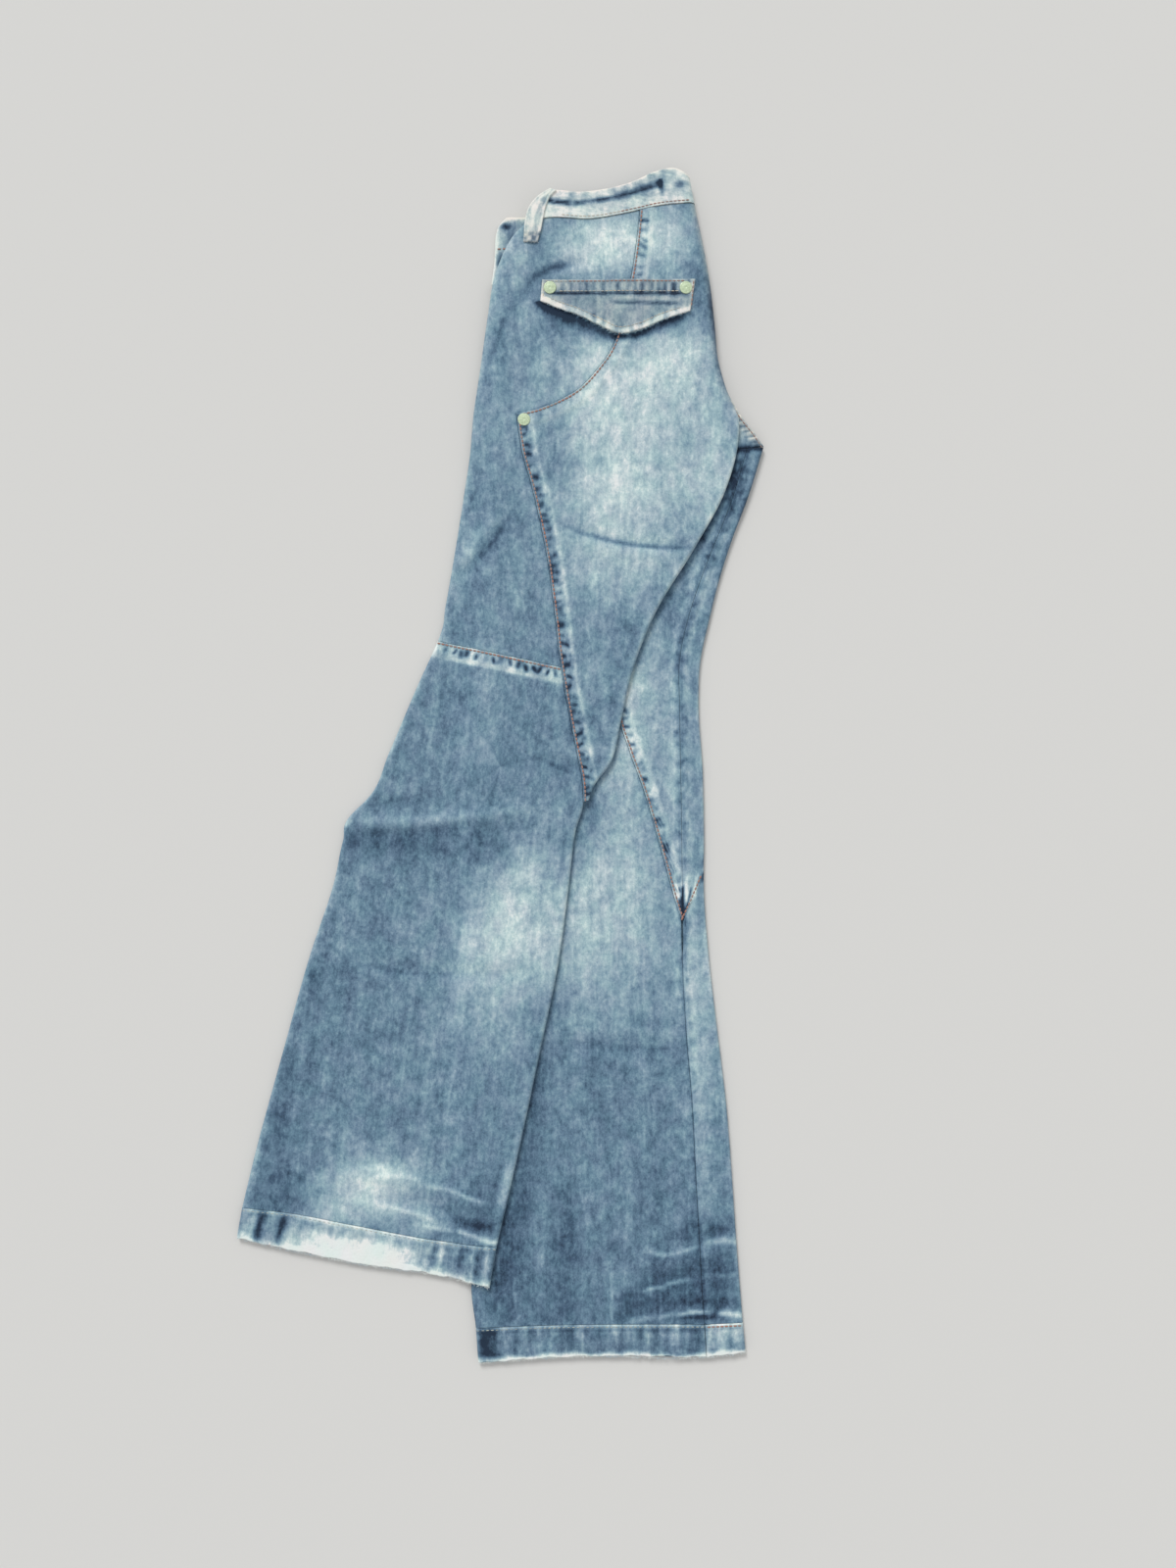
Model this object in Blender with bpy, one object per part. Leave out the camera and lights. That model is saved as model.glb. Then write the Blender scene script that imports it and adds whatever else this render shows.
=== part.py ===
# Bootcut jeans, folded in half on the seat and fly seams and laid on the floor, seen with the
# left leg's back uppermost. The right leg lies underneath, its front uppermost, and shows to the
# right and below. +X is the photo's right, +Y points from the hems to the waist, +Z is up.
# Tables and lengths are in millimetres; the meshes are in metres.

from collections import namedtuple
from math import cos, pi, sin

import bmesh
import bpy
import numpy as np
from mathutils import Vector
from mathutils.geometry import delaunay_2d_cdt

MM = 0.001

# driving dimensions
CLOTH_WALL = 1.3          # heavy denim with its own fuzz
BAND_WALL = 2.6           # waistband: cloth turned under
FLAP_WALL = 2.0
LOOP_WALL = 1.8
HEM_WALL = 2.4            # hem turned up twice
SEAM_GAP = 0.3            # between neighbouring pieces
LAY_GAP = 0.35            # between pieces that lie on each other
BAND_GAP = 0.7            # under the waistband's curved edge
LEG_THICK = 5.2           # front and back of one leg, pressed flat
RAMP_OUT = -20.0          # the cloth climbs onto the right leg from here, beyond that leg's fold
RAMP_IN = 16.0            # to here
CROTCH_LIFT = 1.4         # extra height of the right leg towards the crotch
CROTCH_LIFT_FROM = 180.0
CROTCH_LIFT_TO = 280.0
LAP_WIDTH = 12.0          # allowance inside a lapped seam
LAP_EDGE = 3.0            # over which its raised face falls off
LAP_RAISE = 0.8           # how far it lifts the cloth
FELL_WIDTH = 6.0          # half width of the felled inseam
TUCK_LENGTH = 5.0         # how far a folded edge runs back underneath
TUCK_FLOOR = 0.3          # height of a folded edge over the floor
HEM_RAISE = 0.7           # hem above the leg's own face
HEM_DEPTH = 33.0          # from the left hem's stitching to its edge at the inner fold
HEM_TUCK = 16.0           # the left hem's inner fold runs further back, where it lies on the right leg
SEAT_WRAP_FROM = 338.0    # above here the seat's fold wraps the whole stack, down to the floor
SEAT_WRAP_TO = 366.0
CORNER_FROM = 408.0       # the side fold rests on the front waistband's corner from here up
CORNER_TO = 424.0
BAND_RAISE = 1.2          # waistband above the hip
CROTCH_RAISE = 0.2
FLAP_PROUD = 1.6          # how far the flap's lower edge stands up
FLAP_DROP = 48.0
LOOP_SINK = 1.0           # the loop comes down below the waistband
LOOP_SINK_FROM = 480.0
LOOP_SINK_TO = 464.0
FRONT_BAND_TOP = 4.0
RIVET_RADIUS = 5.5
RIVET_STEPS = 16
HIDDEN_CLEAR = 1.6        # air between the cloth and the hidden layers
EDGE_INSET = 9.8          # the hidden layers' edge behind a folded edge
SEAT_INSET = 13.5         # behind the seat's fold, which wraps the whole stack
OPEN_INSET = 1.5          # behind an open edge
BAND_INSET = 3.0
STEP_INSET = 11.0         # the step behind the left leg's inner fold
STEP_INSET_HEM = 27.0
STEP_RUN = 3.0
HIP_LIP = 5.5             # the right leg's outer fold shows under the left one's at the hip
HIDDEN_SPACING = 26.0     # between points along the hidden layers' edge
LATTICE = 40.0            # between points over their top
LATTICE_CLEAR = 22.0      # from an edge or step to the lattice
ROW_SPACING = 21.0        # between rows down a panel
SPARE_SHARE = 0.42        # of a narrow panel's width that its seam allowance may take
ORIGIN_X = -0.85          # middle of the folded garment, in the tables' own units
ORIGIN_Y = -1.57
HALF_WIDTH = 240.0
HALF_LENGTH = 540.0

# What the right leg adds in height under the left one: at the shin, the thigh and the hip, where
# it has its pockets' and fly's layers too.
Lift = namedtuple("Lift", "y height")
LIFTS = [Lift(-60, 6.2), Lift(120, 6.8), Lift(300, 8.6)]

# Rings down the hidden layers' edge: share of its height, how far out, how deep a groove is.
EDGE_RINGS = [(0.72, 0.7, 0.0), (0.675, 0.7, 1.2), (0.63, 0.7, 0.0), (0.37, 0.7, 0.0),
              (0.325, 0.7, 1.2), (0.28, 0.7, 0.0), (0.0, 0.2, 0.0)]
LIP_LEVEL = 0.3

# Left leg, one row for each section from the waist seam to the hem's stitching: the side fold,
# the curved seat seam, and the inner fold (the seat seam's fold above the crotch). Below the
# tip of the seat panel its seam is the inner fold itself.
LeftSection = namedtuple("LeftSection", "name side_x side_y seam_x seam_y inner_x inner_y")
LEFT_LEG = [
    LeftSection("waist", 23.5, 482.0, 123.5, 492.0, 172.5, 499.0),
    LeftSection("high hip", 8.0, 466.0, 120.5, 463.0, 179.5, 466.0),
    LeftSection("flap", -4.5, 439.0, 116.5, 436.0, 185.0, 436.0),
    LeftSection("low flap", -12.0, 398.0, 107.5, 396.0, 190.0, 396.0),
    LeftSection("hip", -18.0, 356.0, 91.0, 358.0, 194.0, 358.0),
    LeftSection("high sweep", -21.5, 333.0, 62.0, 329.0, 200.5, 334.0),
    LeftSection("low sweep", -23.5, 320.0, 36.0, 317.0, 205.5, 322.0),
    LeftSection("rivet", -25.0, 308.0, 14.3, 312.0, 211.0, 309.0),
    LeftSection("crotch", -27.0, 284.0, 18.0, 286.0, 211.0, 290.0),
    LeftSection("upper thigh", -32.0, 249.0, 28.0, 247.5, 199.5, 244.5),
    LeftSection("thigh", -40.0, 198.0, 39.5, 195.5, 172.5, 194.0),
    LeftSection("middle thigh", -49.5, 143.5, 48.0, 137.0, 136.5, 134.0),
    LeftSection("knee seam", -56.5, 111.5, 54.0, 87.5, 114.5, 75.0),
    LeftSection("below knee seam", -76.0, 68.5, 61.0, 46.5, 106.5, 38.0),
    LeftSection("above knee fold", -100.0, 12.0, 68.5, 9.0, 98.5, 4.5),
    LeftSection("knee fold", -118.0, -27.5, 73.0, -17.0, 82.0, -19.5),
    LeftSection("tip", -134.0, -43.5, 73.5, -31.5, 78.0, -30.5),
    LeftSection("below knee fold", -141.0, -66.0, 67.0, -56.0, 67.0, -56.0),
    LeftSection("shin", -149.5, -105.0, 61.0, -103.0, 61.0, -103.0),
    LeftSection("calf", -171.0, -170.0, 52.0, -171.0, 52.0, -171.0),
    LeftSection("low calf", -195.0, -256.0, 34.5, -256.0, 34.5, -256.0),
    LeftSection("above hem", -217.0, -336.0, 15.5, -345.0, 15.5, -345.0),
    LeftSection("hem stitching", -231.0, -393.5, -3.4, -426.5, -3.4, -426.5),
]

# Right leg, from the crotch to the hem's stitching: where its front goes out of sight under the
# left leg, the slanting seam, the inseam and the inner fold. Above the knee the slanting seam is
# out of sight too, and below the V it has run into the inseam.
RightSection = namedtuple("RightSection",
                          "name hidden_x hidden_y seam_x seam_y inseam_x inseam_y inner_x inner_y")
RIGHT_LEG = [
    RightSection("crotch", 200, 281.4, 200, 281.4, 219.5, 283.1, 234.2, 284.4),
    RightSection("upper thigh", 186, 238, 186, 238, 205.5, 236, 220.5, 240),
    RightSection("thigh", 168.5, 205, 168.5, 205, 193, 204, 206.5, 203),
    RightSection("middle thigh", 148, 170, 148, 170, 179.5, 170, 195, 167),
    RightSection("low thigh", 125.5, 130, 125.5, 130, 166.5, 130, 186, 131),
    RightSection("above knee", 108, 90, 108, 90, 159, 90, 177.8, 92),
    RightSection("seam in sight", 98, 54, 104.5, 56, 159.3, 54, 176.3, 58),
    RightSection("below knee", 90, 12, 115.1, 12.1, 160.2, 0, 180, -5),
    RightSection("tip", 67.5, -27, 129.1, -27.1, 161, -45, 181, -45),
    RightSection("shin", 54, -80, 144.8, -81.2, 161.6, -100, 181.2, -75),
    RightSection("above V", 49, -119, 155.3, -119.6, 162, -125, 180.8, -90),
    RightSection("V", 46.5, -138, 160.7, -136.5, 162.3, -138, 180.8, -98),
    RightSection("below V", 41, -175, 161.8, -175, 161.8, -175, 185.5, -170),
    RightSection("calf", 28, -235, 165, -235, 165, -235, 193, -235),
    RightSection("low calf", 14, -305, 170.5, -303, 170.5, -303, 201, -301.5),
    RightSection("above hem", -3, -375, 174, -372, 174, -372, 206.5, -372),
    RightSection("left hem", -14, -425, 177, -423, 177, -423, 210, -423),
    RightSection("out again", -26.5, -464, 179.3, -466, 179.3, -466, 213.3, -466),
    RightSection("hem stitching", -22.5, -501, 181.5, -497.5, 181.5, -497.5, 215.8, -496),
]

# Outer fold of the right leg, which the left leg hides: it lifts the cloth above it.
Point = namedtuple("Point", "x y")
RIGHT_OUTER_FOLD = [Point(4, 490), Point(0, 440), Point(-8, 398), Point(-13, 356), Point(-17, 320),
                    Point(-18, 284), Point(-20, 198), Point(-25, 115), Point(-33, 19), Point(-33, -68),
                    Point(-28, -132), Point(-33, -202), Point(-36, -278), Point(-34, -366),
                    Point(-28.5, -453), Point(-27, -478), Point(-22.5, -501), Point(-20.5, -532)]

# Edges that run across the legs.
WAIST_SEAM = [Point(23.5, 482), Point(43.8, 485.3), Point(81, 484.3), Point(103.7, 487.8),
              Point(123.5, 492), Point(136.7, 495.2), Point(172.5, 499)]
BAND_TOP = [Point(25.5, 494.5), Point(33, 503.5), Point(45, 509), Point(69.8, 508.2),
            Point(99.3, 512.1), Point(118.4, 517.7), Point(136.7, 526), Point(154.9, 529),
            Point(167.9, 522.5)]
FLAP_TOP = [Point(37, 430), Point(172.7, 430.5)]
FLAP_BOTTOM = [Point(35.3, 411), Point(50.8, 404.5), Point(67.2, 398.9), Point(84.5, 390.7),
               Point(102.7, 382), Point(126, 385.9), Point(140.7, 392.8), Point(168, 402)]
LEFT_HEM_TOP = [Point(-231, -393.5), Point(-185, -398.9), Point(-130.9, -409.3),
                Point(-41.1, -424.5), Point(-3.4, -426.5)]
LEFT_HEM_BOTTOM = [Point(-235.9, -421), Point(-187.9, -431.5), Point(-115.4, -445.5),
                   Point(-70.9, -451.6), Point(-9.7, -462.9)]
RIGHT_HEM_TOP = [Point(-22.5, -501), Point(43.6, -498.3), Point(118.6, -497.5), Point(181.5, -497.5)]
RIGHT_HEM_BOTTOM = [Point(-20.3, -532.4), Point(36.5, -528), Point(81.1, -526.2), Point(183.4, -527.1)]
CROTCH_OUTER = [Point(203.5, 330), Point(213.5, 312.5), Point(225.7, 297), Point(234.4, 284.5)]
CROTCH_INNER = [Point(198.5, 326), Point(203, 305), Point(202.5, 290), Point(200, 281.5)]
FRONT_BAND_OUTER = [Point(5, 490), Point(-2.4, 482), Point(-5, 472), Point(-5.5, 458.5),
                    Point(-8.7, 429)]
FRONT_BAND_INNER = [Point(34, 490), Point(24, 470), Point(14, 452), Point(6, 429)]
RIGHT_HEM_CORNER = Point(218.3, -522.8)
FRONT_STEP = [Point(45, 492), Point(38, 478), Point(28, 458), Point(16, 436)]
CROTCH_EDGE = [Point(212, 304), Point(195, 331), Point(181, 350)]
LOOP_OUTER = [Point(44, 510.5), Point(33.5, 504), Point(28.5, 499), Point(25, 493.5),
              Point(22.6, 485.5), Point(20.3, 463.3)]
LOOP_INNER = [Point(50, 508.5), Point(44.7, 503.5), Point(41.3, 496.5), Point(38.4, 485),
              Point(36, 473), Point(33, 463)]

# How finely each piece is divided: columns across it, between its edges, and rows down it where
# no table of sections gives them.
COLUMNS = {"left_side_panel": 5, "left_seat_panel": 6, "left_lower_panel": 10, "left_hem": 14,
           "right_thigh_wedge": 3, "right_lower_front": 6, "right_back_upper": 1, "right_back_lower": 1,
           "right_hem_front": 12, "right_hem_back": 3, "crotch_seam": 3, "waistband_back": 12,
           "waistband_front": 4, "pocket_flap": 14, "belt_loop_side": 4}
ROWS = {"hem": 4, "band": 4, "front band": 6, "flap": 6, "loop": 9, "crotch": 7}

# The rivets' caps, and their turned profile: share of the radius, height over the cloth.
Rivet = namedtuple("Rivet", "name x y on")
RIVETS = [Rivet("rivet_flap_side", 44.0, 422.5, "flap"), Rivet("rivet_flap_centre", 164.0, 422.5, "flap"),
          Rivet("rivet_seam", 21.0, 306.5, "seat")]
RIVET_PROFILE = [(0.0, 0.0), (1.0, 0.0), (1.0, 0.5), (0.72, 0.7), (0.45, 1.1), (0.0, 1.25)]

# Folds: a ridge (height over 0) or trough along an arc. bow is the arc's rise, width the
# distance at which the fold has fallen to a third of its height.
Fold = namedtuple("Fold", "leg start_x start_y end_x end_y bow width height")
FOLDS = [
    Fold("left", 58, 214, 168, 196, -6, 6, -1.0),        # seat crease
    Fold("left", 60, 206, 160, 186, -6, 9, 0.8),
    Fold("left", 8, 224, -36, 165, 3, 7, -1.1),          # outer thigh
    Fold("left", -4, 222, -40, 178, 3, 7, 1.0),
    Fold("left", 80, 446, 12, 418, 8, 6, -1.0),          # beside the flap
    Fold("left", 16, 466, -6, 394, -6, 9, 1.2),
    Fold("left", -134, -52, 24, -37, -5, 8, 1.9),        # knee ridge
    Fold("left", -138, -68, 2, -56, -5, 8, -1.1),
    Fold("left", 34, 8, 88, -8, 2, 5, -0.9),             # above the seat panel's tip
    Fold("left", -130, -174, 22, -184, -4, 7, -1.0),     # calf
    Fold("left", -144, -366, -12, -392, 8, 7, 1.2),      # above the hem
    Fold("left", -120, -384, -10, -410, 3, 6, -0.8),
    Fold("right", 48, -250, 158, -253, 2, 9, -0.9),      # right calf
    Fold("right", 128, -440, 206, -428, -4, 6, 0.8),     # above the right hem
    Fold("right", 120, -456, 192, -458, 3, 6, -0.7),
]


# ---- curves and sections -------------------------------------------------------------------

def smooth_line(points, knots=None, corner=None):
    """A cubic through the points, as a function of t from 0 to 1, with one sharp corner at most."""
    pts = np.array([tuple(p) for p in points], dtype=float)
    if knots is None:
        knots = running_length(pts)
    knots = (np.array(knots) - knots[0]) / (knots[-1] - knots[0])
    chords = np.diff(pts, axis=0) / np.diff(knots)[:, None]
    after = np.vstack([chords, chords[-1]])
    before = np.vstack([chords[0], chords])
    if len(pts) > 2:
        smooth = np.gradient(pts, knots, axis=0)
        keep = np.array([i in (0, len(pts) - 1, corner) for i in range(len(pts))])[:, None]
        after = np.where(keep, after, smooth)
        before = np.where(keep, before, smooth)

    def at(t):
        t = np.clip(np.atleast_1d(np.asarray(t, dtype=float)), 0.0, 1.0)
        i = np.clip(np.searchsorted(knots, t, side="right") - 1, 0, len(knots) - 2)
        span = (knots[i + 1] - knots[i])[:, None]
        s = (t - knots[i])[:, None] / span
        start = (2 * s**3 - 3 * s**2 + 1) * pts[i] + (s**3 - 2 * s**2 + s) * span * after[i]
        end = (3 * s**2 - 2 * s**3) * pts[i + 1] + (s**3 - s**2) * span * before[i + 1]
        return start + end

    return at


def running_length(pts):
    return np.concatenate([[0.0], np.cumsum(np.linalg.norm(np.diff(pts, axis=0), axis=1))])


def stretch(curve, start, end):
    """The part of a curve between two of its t values, as a curve of its own."""
    return lambda t: curve(start + (end - start) * np.atleast_1d(np.asarray(t, dtype=float)))


def sampled(curve, count):
    return curve(np.linspace(0, 1, count))


def sections(table, column):
    """One edge of a leg, as points, from the columns NAME_x and NAME_y of its table."""
    return [Point(getattr(row, column + "_x"), getattr(row, column + "_y")) for row in table]


def knots_of(table):
    """The sections' places down the leg, from 0 to 1, measured along the inner fold."""
    along = running_length(np.array([tuple(p) for p in sections(table, "inner")]))
    return along / along[-1]


def index_of(table, name):
    return [row.name for row in table].index(name)


def station(table, name):
    return knots_of(table)[index_of(table, name)]


def edge(table, column, start, end):
    """A leg's edge between two named sections, as a function of t from 0 to 1."""
    turn = "rivet" if table is LEFT_LEG else "V"
    corner = index_of(table, turn) if column == "seam" else None
    whole = smooth_line(sections(table, column), knots_of(table), corner)
    return stretch(whole, station(table, start), station(table, end))


def rows_between(table, start, end, spacing):
    """Row places from 0 to 1 that pass through every section, no further apart than spacing."""
    knots = knots_of(table)
    first, last = index_of(table, start), index_of(table, end)
    columns = ("inner", "side") if table is LEFT_LEG else ("inner",)
    lengths = [running_length(np.array([tuple(p) for p in sections(table, c)])) for c in columns]
    places = [knots[first]]
    for i in range(first, last):
        reach = max(length[i + 1] - length[i] for length in lengths)
        count = max(1, round(reach / spacing))
        places += list(knots[i] + (knots[i + 1] - knots[i]) * np.arange(1, count + 1) / count)
    places = np.array(places)
    return (places - places[0]) / (places[-1] - places[0])


# ---- heights -------------------------------------------------------------------------------

def smooth_step(low, high, value):
    t = np.clip((value - low) / (high - low), 0, 1)
    return t * t * (3 - 2 * t)


def distance_to(line, x, y):
    """Distance from points to a sampled line, and +1 where they lie on its left as it runs."""
    start, run = line[:-1], np.diff(line, axis=0)
    dx, dy = x[..., None] - start[:, 0], y[..., None] - start[:, 1]
    share = np.clip((dx * run[:, 0] + dy * run[:, 1]) / (run**2).sum(axis=1), 0, 1)
    away = np.hypot(dx - share * run[:, 0], dy - share * run[:, 1])
    nearest = away.argmin(axis=-1)[..., None]
    cross = np.take_along_axis(run[:, 0] * dy - run[:, 1] * dx, nearest, -1)[..., 0]
    return away.min(axis=-1), np.where(cross > 0, 1, -1)


def fold_height(leg, x, y):
    height = np.zeros_like(x)
    for fold in FOLDS:
        if fold.leg != leg:
            continue
        run_x, run_y = fold.end_x - fold.start_x, fold.end_y - fold.start_y
        length = np.hypot(run_x, run_y)
        along = ((x - fold.start_x) * run_x + (y - fold.start_y) * run_y) / length**2
        across = (-(x - fold.start_x) * run_y + (y - fold.start_y) * run_x) / length
        across = across - fold.bow * 4 * along * (1 - along)
        taper = smooth_step(-0.12, 0.25, along) * (1 - smooth_step(0.75, 1.12, along))
        height += fold.height * taper * np.exp(-(across / fold.width)**2)
    return height


HIP_SEAM = sampled(edge(LEFT_LEG, "seam", "waist", "rivet"), 60)
SEAT_SEAM = sampled(edge(LEFT_LEG, "seam", "rivet", "tip"), 60)
KNEE_SEAM = np.array([sections(LEFT_LEG, c)[index_of(LEFT_LEG, "knee seam")] for c in ("side", "seam")])
SLANT_SEAM = sampled(edge(RIGHT_LEG, "seam", "seam in sight", "V"), 40)
INSEAM = sampled(edge(RIGHT_LEG, "inseam", "crotch", "hem stitching"), 80)


def lap(distance):
    """The rise of the cloth beside a lapped seam."""
    return LAP_RAISE * (1 - smooth_step(LAP_WIDTH - LAP_EDGE, LAP_WIDTH + LAP_EDGE, distance))


def left_base(x, y):
    """Height of the left leg's upper face without folds and seams."""
    fold = sorted(RIGHT_OUTER_FOLD, key=lambda p: p.y)
    beyond = x - np.interp(y, [p.y for p in fold], [p.x for p in fold])
    lift = np.interp(y, [row.y for row in LIFTS], [row.height for row in LIFTS])
    return LEG_THICK + lift * smooth_step(RAMP_OUT, RAMP_IN, beyond)


def left_height(x, y):
    return left_base(x, y) + fold_height("left", x, y)


def seat_height(x, y):
    seam = np.minimum(distance_to(HIP_SEAM, x, y)[0], distance_to(SEAT_SEAM, x, y)[0])
    return left_height(x, y) + lap(seam)


def lower_height(x, y):
    return left_height(x, y) + lap(distance_to(KNEE_SEAM, x, y)[0])


def hem_height(x, y):
    return left_height(x, y) + HEM_RAISE


def right_base(x, y):
    return LEG_THICK + CROTCH_LIFT * smooth_step(CROTCH_LIFT_FROM, CROTCH_LIFT_TO, y)


def right_height(x, y):
    fell = LAP_RAISE * (1 - smooth_step(FELL_WIDTH - 2, FELL_WIDTH + 2, distance_to(INSEAM, x, y)[0]))
    return right_base(x, y) + fell + fold_height("right", x, y)


def wedge_height(x, y):
    fell = right_height(x, y)
    return fell + np.maximum(lap(distance_to(SLANT_SEAM, x, y)[0]) - (fell - right_base(x, y)), 0)


def right_hem_height(x, y):
    return right_base(x, y) + HEM_RAISE


def heights_near(height, x, y, reach):
    return [height(x, y)] + [height(x + reach * cos(a), y + reach * sin(a)) for a in np.arange(8) * pi / 4]


def highest_near(height, x, y, reach=9.0):
    """The highest that a surface comes within reach of a point."""
    return np.maximum.reduce(heights_near(height, x, y, reach))


def lowest_near(height, x, y, reach):
    return np.minimum.reduce(heights_near(height, x, y, reach))


def on_floor(x, y):
    return np.full_like(x, TUCK_FLOOR)


def on_right_leg(x, y):
    """Where the left leg's inner fold rests: the floor at the seat's fold, then the right leg."""
    leg = highest_near(wedge_height, x, y) + LAY_GAP
    lifted = 1 - smooth_step(SEAT_WRAP_FROM, SEAT_WRAP_TO, y)
    return TUCK_FLOOR + (leg - TUCK_FLOOR) * lifted


def on_own_thickness(x, y):
    """The side fold stays one leg thick, down to the floor or on the front waistband's corner."""
    corner = (FRONT_BAND_TOP + LAY_GAP) * smooth_step(CORNER_FROM, CORNER_TO, y)
    return np.maximum(np.maximum(left_height(x, y) - LEG_THICK, TUCK_FLOOR), corner)


# ---- cloth panels --------------------------------------------------------------------------

# One edge of a panel. kind is fold, seam (a lapped seam's raised side), fell or plain; a fold
# rests on something, runs back underneath by tuck, and may start or end part of the way down.
Edge = namedtuple("Edge", "curve kind rest tuck start end", defaults=(on_floor, TUCK_LENGTH, 0.0, 1.0))
INSETS = {"plain": [0.0],
          "seam": [0.0, LAP_WIDTH - LAP_EDGE, LAP_WIDTH + LAP_EDGE],
          "fell": [0.0, FELL_WIDTH]}
FOLD_ANGLES = [pi / 2, pi / 4, 0.0]
UNDER_ANGLES = [3 * pi / 4, pi]


def fold_radius(side, t, height):
    rim = side.curve(t)
    return (height(rim[:, 0], rim[:, 1]) - side.rest(rim[:, 0], rim[:, 1])) / 2


def even_rows(piece):
    return np.linspace(0, 1, ROWS[piece])


def cloth_panel(name, left, right, rows, height, wall, material, top=None, bottom=None,
                bottom_gap=SEAM_GAP / 2):
    """A wall of cloth between two edges. rows holds the rows' places from 0 to 1."""
    start, finish_ = left.curve(rows), right.curve(rows)
    width = np.linalg.norm(finish_ - start, axis=1)
    across = (finish_ - start) / width[:, None]
    insets, radii, active = [], [], []
    for side in (left, right):
        on = (rows >= side.start - 1e-6) & (rows <= side.end + 1e-6) & (side.kind == "fold")
        radius = fold_radius(side, rows, height) if side.kind == "fold" else np.zeros(len(rows))
        shape = radius[:, None] * (1 - np.sin(FOLD_ANGLES)) if side.kind == "fold" else \
            np.tile(INSETS[side.kind], (len(rows), 1))
        insets.append(shape)
        radii.append(radius)
        active.append(on)
    spare = np.maximum(width - radii[0] - radii[1], 0.5) * SPARE_SHARE
    for i, side in enumerate((left, right)):
        if side.kind != "fold":
            insets[i] = insets[i] * np.minimum(1, spare / max(INSETS[side.kind][-1], 0.01))[:, None]
    from_left = insets[0]
    from_right = width[:, None] - insets[1]
    inner = np.linspace(0, 1, COLUMNS[name] + 1)[1:-1]
    middle = from_left[:, -1:] + (from_right[:, -1:] - from_left[:, -1:]) * inner
    places = np.hstack([from_left, middle, from_right[:, ::-1]])
    places[:, 0] += np.where(active[0], 0, SEAM_GAP / 2)
    places[:, -1] -= np.where(active[1], 0, SEAM_GAP / 2)
    points = start[:, None, :] + across[:, None, :] * places[..., None]
    for curve, end in ((top, 0), (bottom, -1)):
        if curve is not None:
            points = lay_on(points, curve(places[end] / width[end]), end)
        points = draw_back(points, end, bottom_gap if end else SEAM_GAP / 2)
    z = height(points[..., 0], points[..., 1])
    inward = np.zeros(points.shape[:2] + (3,))
    inward[..., 2] = -1.0
    unders = []
    for i, side in enumerate((left, right)):
        if side.kind != "fold":
            continue
        sign = (-1.0, 1.0)[i]
        columns_in = [k if i == 0 else places.shape[1] - 1 - k for k in range(len(FOLD_ANGLES))]
        for column, angle in zip(columns_in, FOLD_ANGLES):
            z[:, column] -= np.where(active[i], radii[i] * (1 - cos(angle)), 0)
            lean = np.column_stack([-sign * across * sin(angle), np.full(len(rows), -cos(angle))])
            inward[active[i], column] = lean[active[i]]
        unders.append((columns_in[0], sign, active[i], radii[i], side.tuck))
    return build_panel(name, points, z, inward, across, unders, wall, material)


def lay_on(points, wanted, end, reach=60.0):
    """Shifts the rows near one end so that its last row lies on the wanted points."""
    shift = wanted - points[end]
    along = running_length(points[:, points.shape[1] // 2])
    away = along if end == 0 else along[-1] - along
    weight = (1 - np.clip(away / min(reach, along[-1]), 0, 1))**2
    return points + weight[:, None, None] * shift


def draw_back(points, end, gap):
    """Draws an end row back from its neighbour's."""
    run = points[1 if end == 0 else -2] - points[end]
    points[end] += run / np.linalg.norm(run, axis=1)[:, None] * gap
    return points


def build_panel(name, points, z, inward, across, unders, wall, material):
    rows, columns = z.shape
    bm = bmesh.new()
    layer = bm.verts.layers.float_vector.new("inward")
    bmesh.ops.create_grid(bm, x_segments=columns - 1, y_segments=rows - 1, size=1.0)
    grid = {}
    for vert in bm.verts:
        column = round((vert.co.x + 1) / 2 * (columns - 1))
        row = round((1 - vert.co.y) / 2 * (rows - 1))
        grid[row, column] = vert
        vert.co = (*points[row, column], z[row, column])
        vert[layer] = Vector(inward[row, column])
    for column, sign, active, radius, tuck in unders:
        turn_under(bm, layer, grid, column, sign * across, active, radius, tuck, points, z)
    close_wall(bm, layer, wall)
    return finish(name, bm, material)


def turn_under(bm, layer, grid, column, outward, active, radius, tuck, points, z):
    """Carries a folded edge round its rim and back underneath."""
    rows = np.nonzero(active)[0]
    line = [grid[row, column] for row in rows]
    steps = [(angle, 0.0) for angle in UNDER_ANGLES] + [(pi, tuck)]
    for angle, back in steps:
        edges = [bm.edges.get(pair) for pair in zip(line, line[1:])]
        made = bmesh.ops.extrude_edge_only(bm, edges=edges)["geom"]
        fresh = {v.co.to_tuple(4): v for v in made if isinstance(v, bmesh.types.BMVert)}
        line = [fresh[v.co.to_tuple(4)] for v in line]
        for row, vert in zip(rows, line):
            reach = radius[row] * (sin(angle) - 1) - back
            place = points[row, column] + outward[row] * reach
            vert.co = (*place, z[row, column] + radius[row] * cos(angle))
            vert[layer] = Vector((*(-outward[row] * sin(angle)), -cos(angle)))


def close_wall(bm, layer, wall):
    """Gives a sheet its thickness, inwards from the face that is seen."""
    sheet = bm.verts[:] + bm.edges[:] + bm.faces[:]
    made = bmesh.ops.extrude_face_region(bm, geom=sheet, use_keep_orig=True)["geom"]
    for vert in made:
        if isinstance(vert, bmesh.types.BMVert):
            vert.co += vert[layer] * wall
    bmesh.ops.recalc_face_normals(bm, faces=bm.faces[:])


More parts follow.
